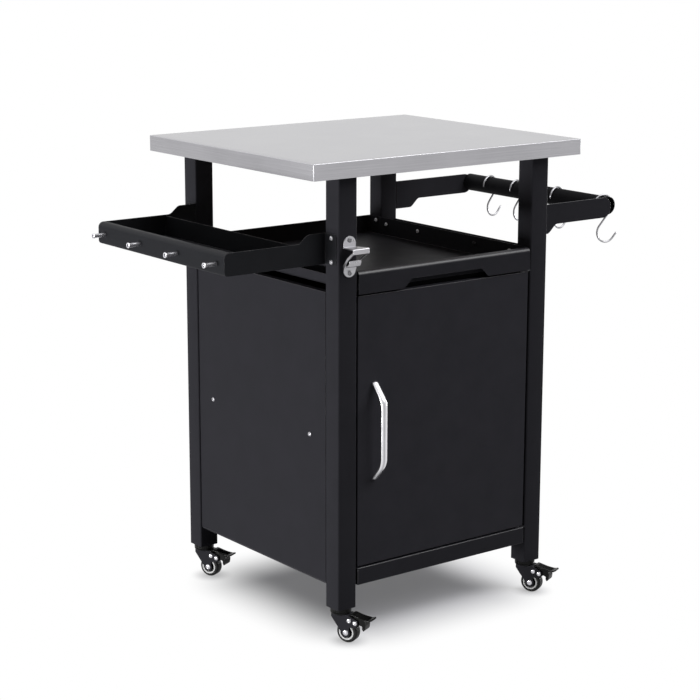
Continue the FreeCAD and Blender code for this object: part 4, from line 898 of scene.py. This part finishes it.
def pedalPlate(look):
    # sections across the plate follow its curved upper line; the tip is rounded in plan and
    # ribs run along the upper side as a raised cosine of the place across
    upper, under = np.array(look["upper"]) / 1000, np.array(look["under"]) / 1000
    x = np.concatenate([np.linspace(*look["shank"]), np.linspace(*look["toe"])])
    top = np.interp(x, upper[:, 0], upper[:, 1])
    low = np.interp(x, under[:, 0], under[:, 1])
    tipStart, tipLong, tipShare = look["tip"]
    heelStart, heelLong, heelShare = look["heel"]
    tip = np.clip((x - tipStart) / tipLong, 0, 1)
    heel = np.clip((heelStart - x) / heelLong, 0, 1)
    narrow = look["narrow"]
    half = look["half"] * (narrow + (1 - narrow) * np.clip(x / look["widest"], 0, 1))
    half = half * (1 - tipShare * tip ** 2.5) * (1 - heelShare * heel ** 2)
    across = np.concatenate([[-1, -0.985, -0.95], np.linspace(-0.88, 0.88, 45), [0.95, 0.985, 1]])
    span = look["ribSpan"]
    inside = np.clip((span - abs(across)) / 0.03, 0, 1)
    ribs = (0.5 + 0.5 * np.cos(across / span * look["ribs"] * 2 * math.pi)) ** 2 * inside
    (first, last), fade = look["ribEnds"], look["fade"]
    along = np.clip((x - first) / fade, 0, 1) * np.clip((last - x) / fade, 0, 1)
    # the plate thins to half its height along both side edges
    shoulder = (1 - np.clip((abs(across) - 0.90) / 0.10, 0, 1) ** 2) * 0.5 + 0.5
    middle = ((top + low) / 2)[:, None]
    reach = ((top - low) / 2)[:, None] * shoulder
    above = middle + reach + look["ribDeep"] * along[:, None] * ribs
    below = middle - reach
    y = half[:, None] * across
    wide = np.repeat(x[:, None], len(across), axis=1)
    rows = [np.stack([wide, y, above], axis=-1), np.stack([wide, y, below], axis=-1)[:, ::-1]]
    return gridShape(np.concatenate(rows, axis=1))


def pedalWeb(look):
    ring = roundedCorners(np.array(look["outline"]) / 1000, np.array(look["corners"]) / 1000, 4)
    half = look["web"]
    rows = [np.column_stack([ring[:, 0], np.full(len(ring), y), ring[:, 1]]) for y in (-half, half)]
    return gridShape(np.array(rows))


trail, radius = casterLook["trail"], casterLook["wheel"]
pivot, rivet = casterLook["pivot"], casterLook["rivet"]
for place, (x, y) in casterLook["at"].items():
    under = Matrix.Translation((x, y, 0)) @ Matrix.Rotation(math.radians(casterLook["turn"]), 4, "Z")
    wheel, swivel = "wheel_" + place, "swivel_" + place
    tyre = layAcross(tyreShape(wheelLook, radius), trail, radius).moved(under)
    makePiece("tyre_" + place + "_round", tyre, wheel, "tyre", ["tyre_" + place], sharp=50)
    rim = layAcross(rimShape(wheelLook), trail, radius).moved(under)
    makePiece("rim_" + place, rim, wheel, "hub", ["hub_" + place])
    disc = layAcross(discShape(discLook, wheelLook["ring"]), trail, radius).moved(under)
    makePiece("disc_" + place, disc, wheel, "black_plastic", ["hub_" + place])
    bolts = layAcross(boltShape(boltLook, *boltLook["axle"]), trail, radius)
    bolts = bolts + layAcross(boltShape(boltLook, *boltLook["pivot"]), *pivot)
    bolts = bolts + layAcross(boltShape(boltLook, *boltLook["pivot"]), *rivet)
    makePiece("bolts_" + place, bolts.moved(under), swivel, "zinc_steel", ["caster_pins_" + place], sharp=60,
              finish=metals["rivetSteel"])
    softenNode("fork_" + place, casterLook["forkEdge"], 3)
    pedal = pedalPlate(pedalLook) + pedalWeb(pedalLook)
    pedal = pedal.moved(under @ Matrix.Translation((pivot[0], 0, pivot[1])))
    makePiece("pedal_" + place + "_ribbed", pedal, "brake_" + place, "black_plastic", ["pedal_" + place],
              sharp=40)
spots = sorted(casterLook["at"].values())
caps = joined([capShape(capLook).moved(Matrix.Translation((x, y, 0))) for x, y in spots])
makePiece("casterCaps", caps, "frame", "black_plastic", ["caster_stems"])
print("casters dressed")

floorLook = {
    "size": 60.0, "albedo": 0.50, "cool": 0.04, "mottle": 3.0, "bounce": 0.25,
    "foot": (0.125, 0.125), "shift": (0.0, -0.02), "wheel": (0.221, 0.223), "trail": (0.0068, -0.0145),
    # from one distance to another the fade goes from one share of white to another; short of white the floor
    # shows its darker lit sheet, painted shade round the cart's foot and each wheel
    "spread": (0.0, 0.19, 0.10, 1.0), "contact": (0.006, 0.045, 0.55, 1.0),
}


def studioFloor(look):
    # a wide pale sheet; away from the object it fades into the white of the air, and near the cart and its
    # wheels a darker sheet shows the real shadow, deepened by painted shade
    half = look["size"] / 2
    mesh = bpy.data.meshes.new("studioFloor")
    corners = [(-half, -half, 0), (half, -half, 0), (half, half, 0), (-half, half, 0)]
    mesh.from_pydata(corners, [], [(0, 1, 2, 3)])
    paper = Recipe("studioPaper", Roughness=0.9, Specular_IOR_Level=0.1)
    mesh.materials.append(paper.material)
    spot = paper.place()
    soft = paper.noise(spot, look["mottle"])
    pale, cool = look["albedo"], look["cool"]
    dry = paper.blend(soft, (pale - 0.01, pale - 0.01, pale + cool - 0.01, 1), (pale, pale, pale + cool, 1))
    # the cart gets less light back from the floor than a white sheet would give
    paper.set("Base_Color", paper.blend(paper.ray("Diffuse"), dry, grey(look["bounce"])))
    # distance from the rectangle under the cart, the length of max(|p| - half, 0), and
    # distance from the nearest wheel's foot
    outside, wheel = [], []
    for n, axis in enumerate("XY"):
        along = paper.part(spot, axis)
        outside.append((abs(along - look["shift"][n]) - look["foot"][n]).clamp())
        wheel.append(abs(along - look["trail"][n]) - look["wheel"][n])
    away = (outside[0] * outside[0] + outside[1] * outside[1]).root()
    near = (wheel[0] * wheel[0] + wheel[1] * wheel[1]).root()
    # less white near the cart and the wheels: painted shade on top of the real shadow
    fade = paper.ramp(away, *look["spread"], "SMOOTHSTEP")
    fade = fade * paper.ramp(near, *look["contact"], "SMOOTHSTEP")
    glow = paper.node("ShaderNodeEmission", {}, {"Color": (1, 1, 1, 1), "Strength": 1.0})
    sheet = Wire(paper, paper.shader.outputs[0])
    shown = paper.node("ShaderNodeMixShader", {}, {0: paper.shownRays() * fade, 1: sheet, 2: glow})
    paper.tree.links.new(shown.socket, paper.tree.nodes["Material Output"].inputs["Surface"])
    floor = bpy.data.objects.new("studioFloor", mesh)
    bpy.context.scene.collection.objects.link(floor)


studioFloor(floorLook)

lampLook = {
    "overhead": {"at": (-0.6, -0.3, 6.0), "size": (5.0, 5.0), "power": 70, "aim": (0, 0, 0.4)},
    "leftSoft": {"at": (-5.6, 0.35, 0.27), "size": (1.5, 0.46), "power": 318, "aim": (0, 0, 0.27)},
    "frontSoft": {"at": (2.6, -3.7, 5.0), "size": (4.6, 4.0), "power": 305, "aim": (0, 0, 0.5)},
    "rightSoft": {"at": (5.6, 0.7, 0.6), "size": (2.6, 1.0), "power": 155, "aim": (0, 0, 0.6)},
}


def softLamp(name, look):
    data = bpy.data.lights.new(name, "AREA")
    data.shape = "RECTANGLE"
    data.size, data.size_y = look["size"]
    data.energy = look["power"]
    lamp = bpy.data.objects.new(name, data)
    lamp.location = look["at"]
    lamp.rotation_euler = (Vector(look["aim"]) - Vector(look["at"])).to_track_quat("-Z", "Y").to_euler()
    bpy.context.scene.collection.objects.link(lamp)


for name, look in lampLook.items():
    softLamp(name, look)

airLook = {"ambient": 0.04, "behind": 0.55, "white": 1.0}


def studioAir(look):
    # white to the eye and in every reflection; the light it gives is faint, and stronger
    # from behind the cart, by the direction's Y
    world = bpy.data.worlds.new("studioAir")
    bpy.context.scene.world = world
    world.use_nodes = True
    air = Nodes(world.node_tree)
    shine = air.tree.nodes["Background"]
    shown = air.shownRays()
    way = air.part(air.node("ShaderNodeTexCoord", {}, {}, "Generated"), "Y").clamp()
    faint = way * look["behind"] + look["ambient"]
    air.fill(shine.inputs["Strength"], shown * look["white"] + (1 - shown) * faint)
    air.fill(shine.inputs["Color"], (1, 1, 1, 1))


studioAir(airLook)
print("studio lit")

cameraLook = {
    "at": (-2.2324, -2.8917, 1.2988), "azimuth": -37.27, "elevation": 12.90, "roll": 0.12, "lens": 101.6,
}


def photoCamera(look):
    # looks back along the direction given by its azimuth from -Y and its elevation
    eye = bpy.data.cameras.new("photoView")
    eye.lens = look["lens"]
    eye.sensor_width = 36
    camera = bpy.data.objects.new("photoView", eye)
    azimuth, elevation = math.radians(look["azimuth"]), math.radians(look["elevation"])
    level = math.cos(elevation)
    back = Vector((math.sin(azimuth) * level, -math.cos(azimuth) * level, math.sin(elevation)))
    turn = (-back).to_track_quat("-Z", "Y").to_matrix() @ Matrix.Rotation(math.radians(look["roll"]), 3, "Z")
    camera.matrix_world = Matrix.Translation(look["at"]) @ turn.to_4x4()
    bpy.context.scene.collection.objects.link(camera)
    bpy.context.scene.camera = camera


photoCamera(cameraLook)
bpy.context.scene.view_settings.view_transform = "Standard"
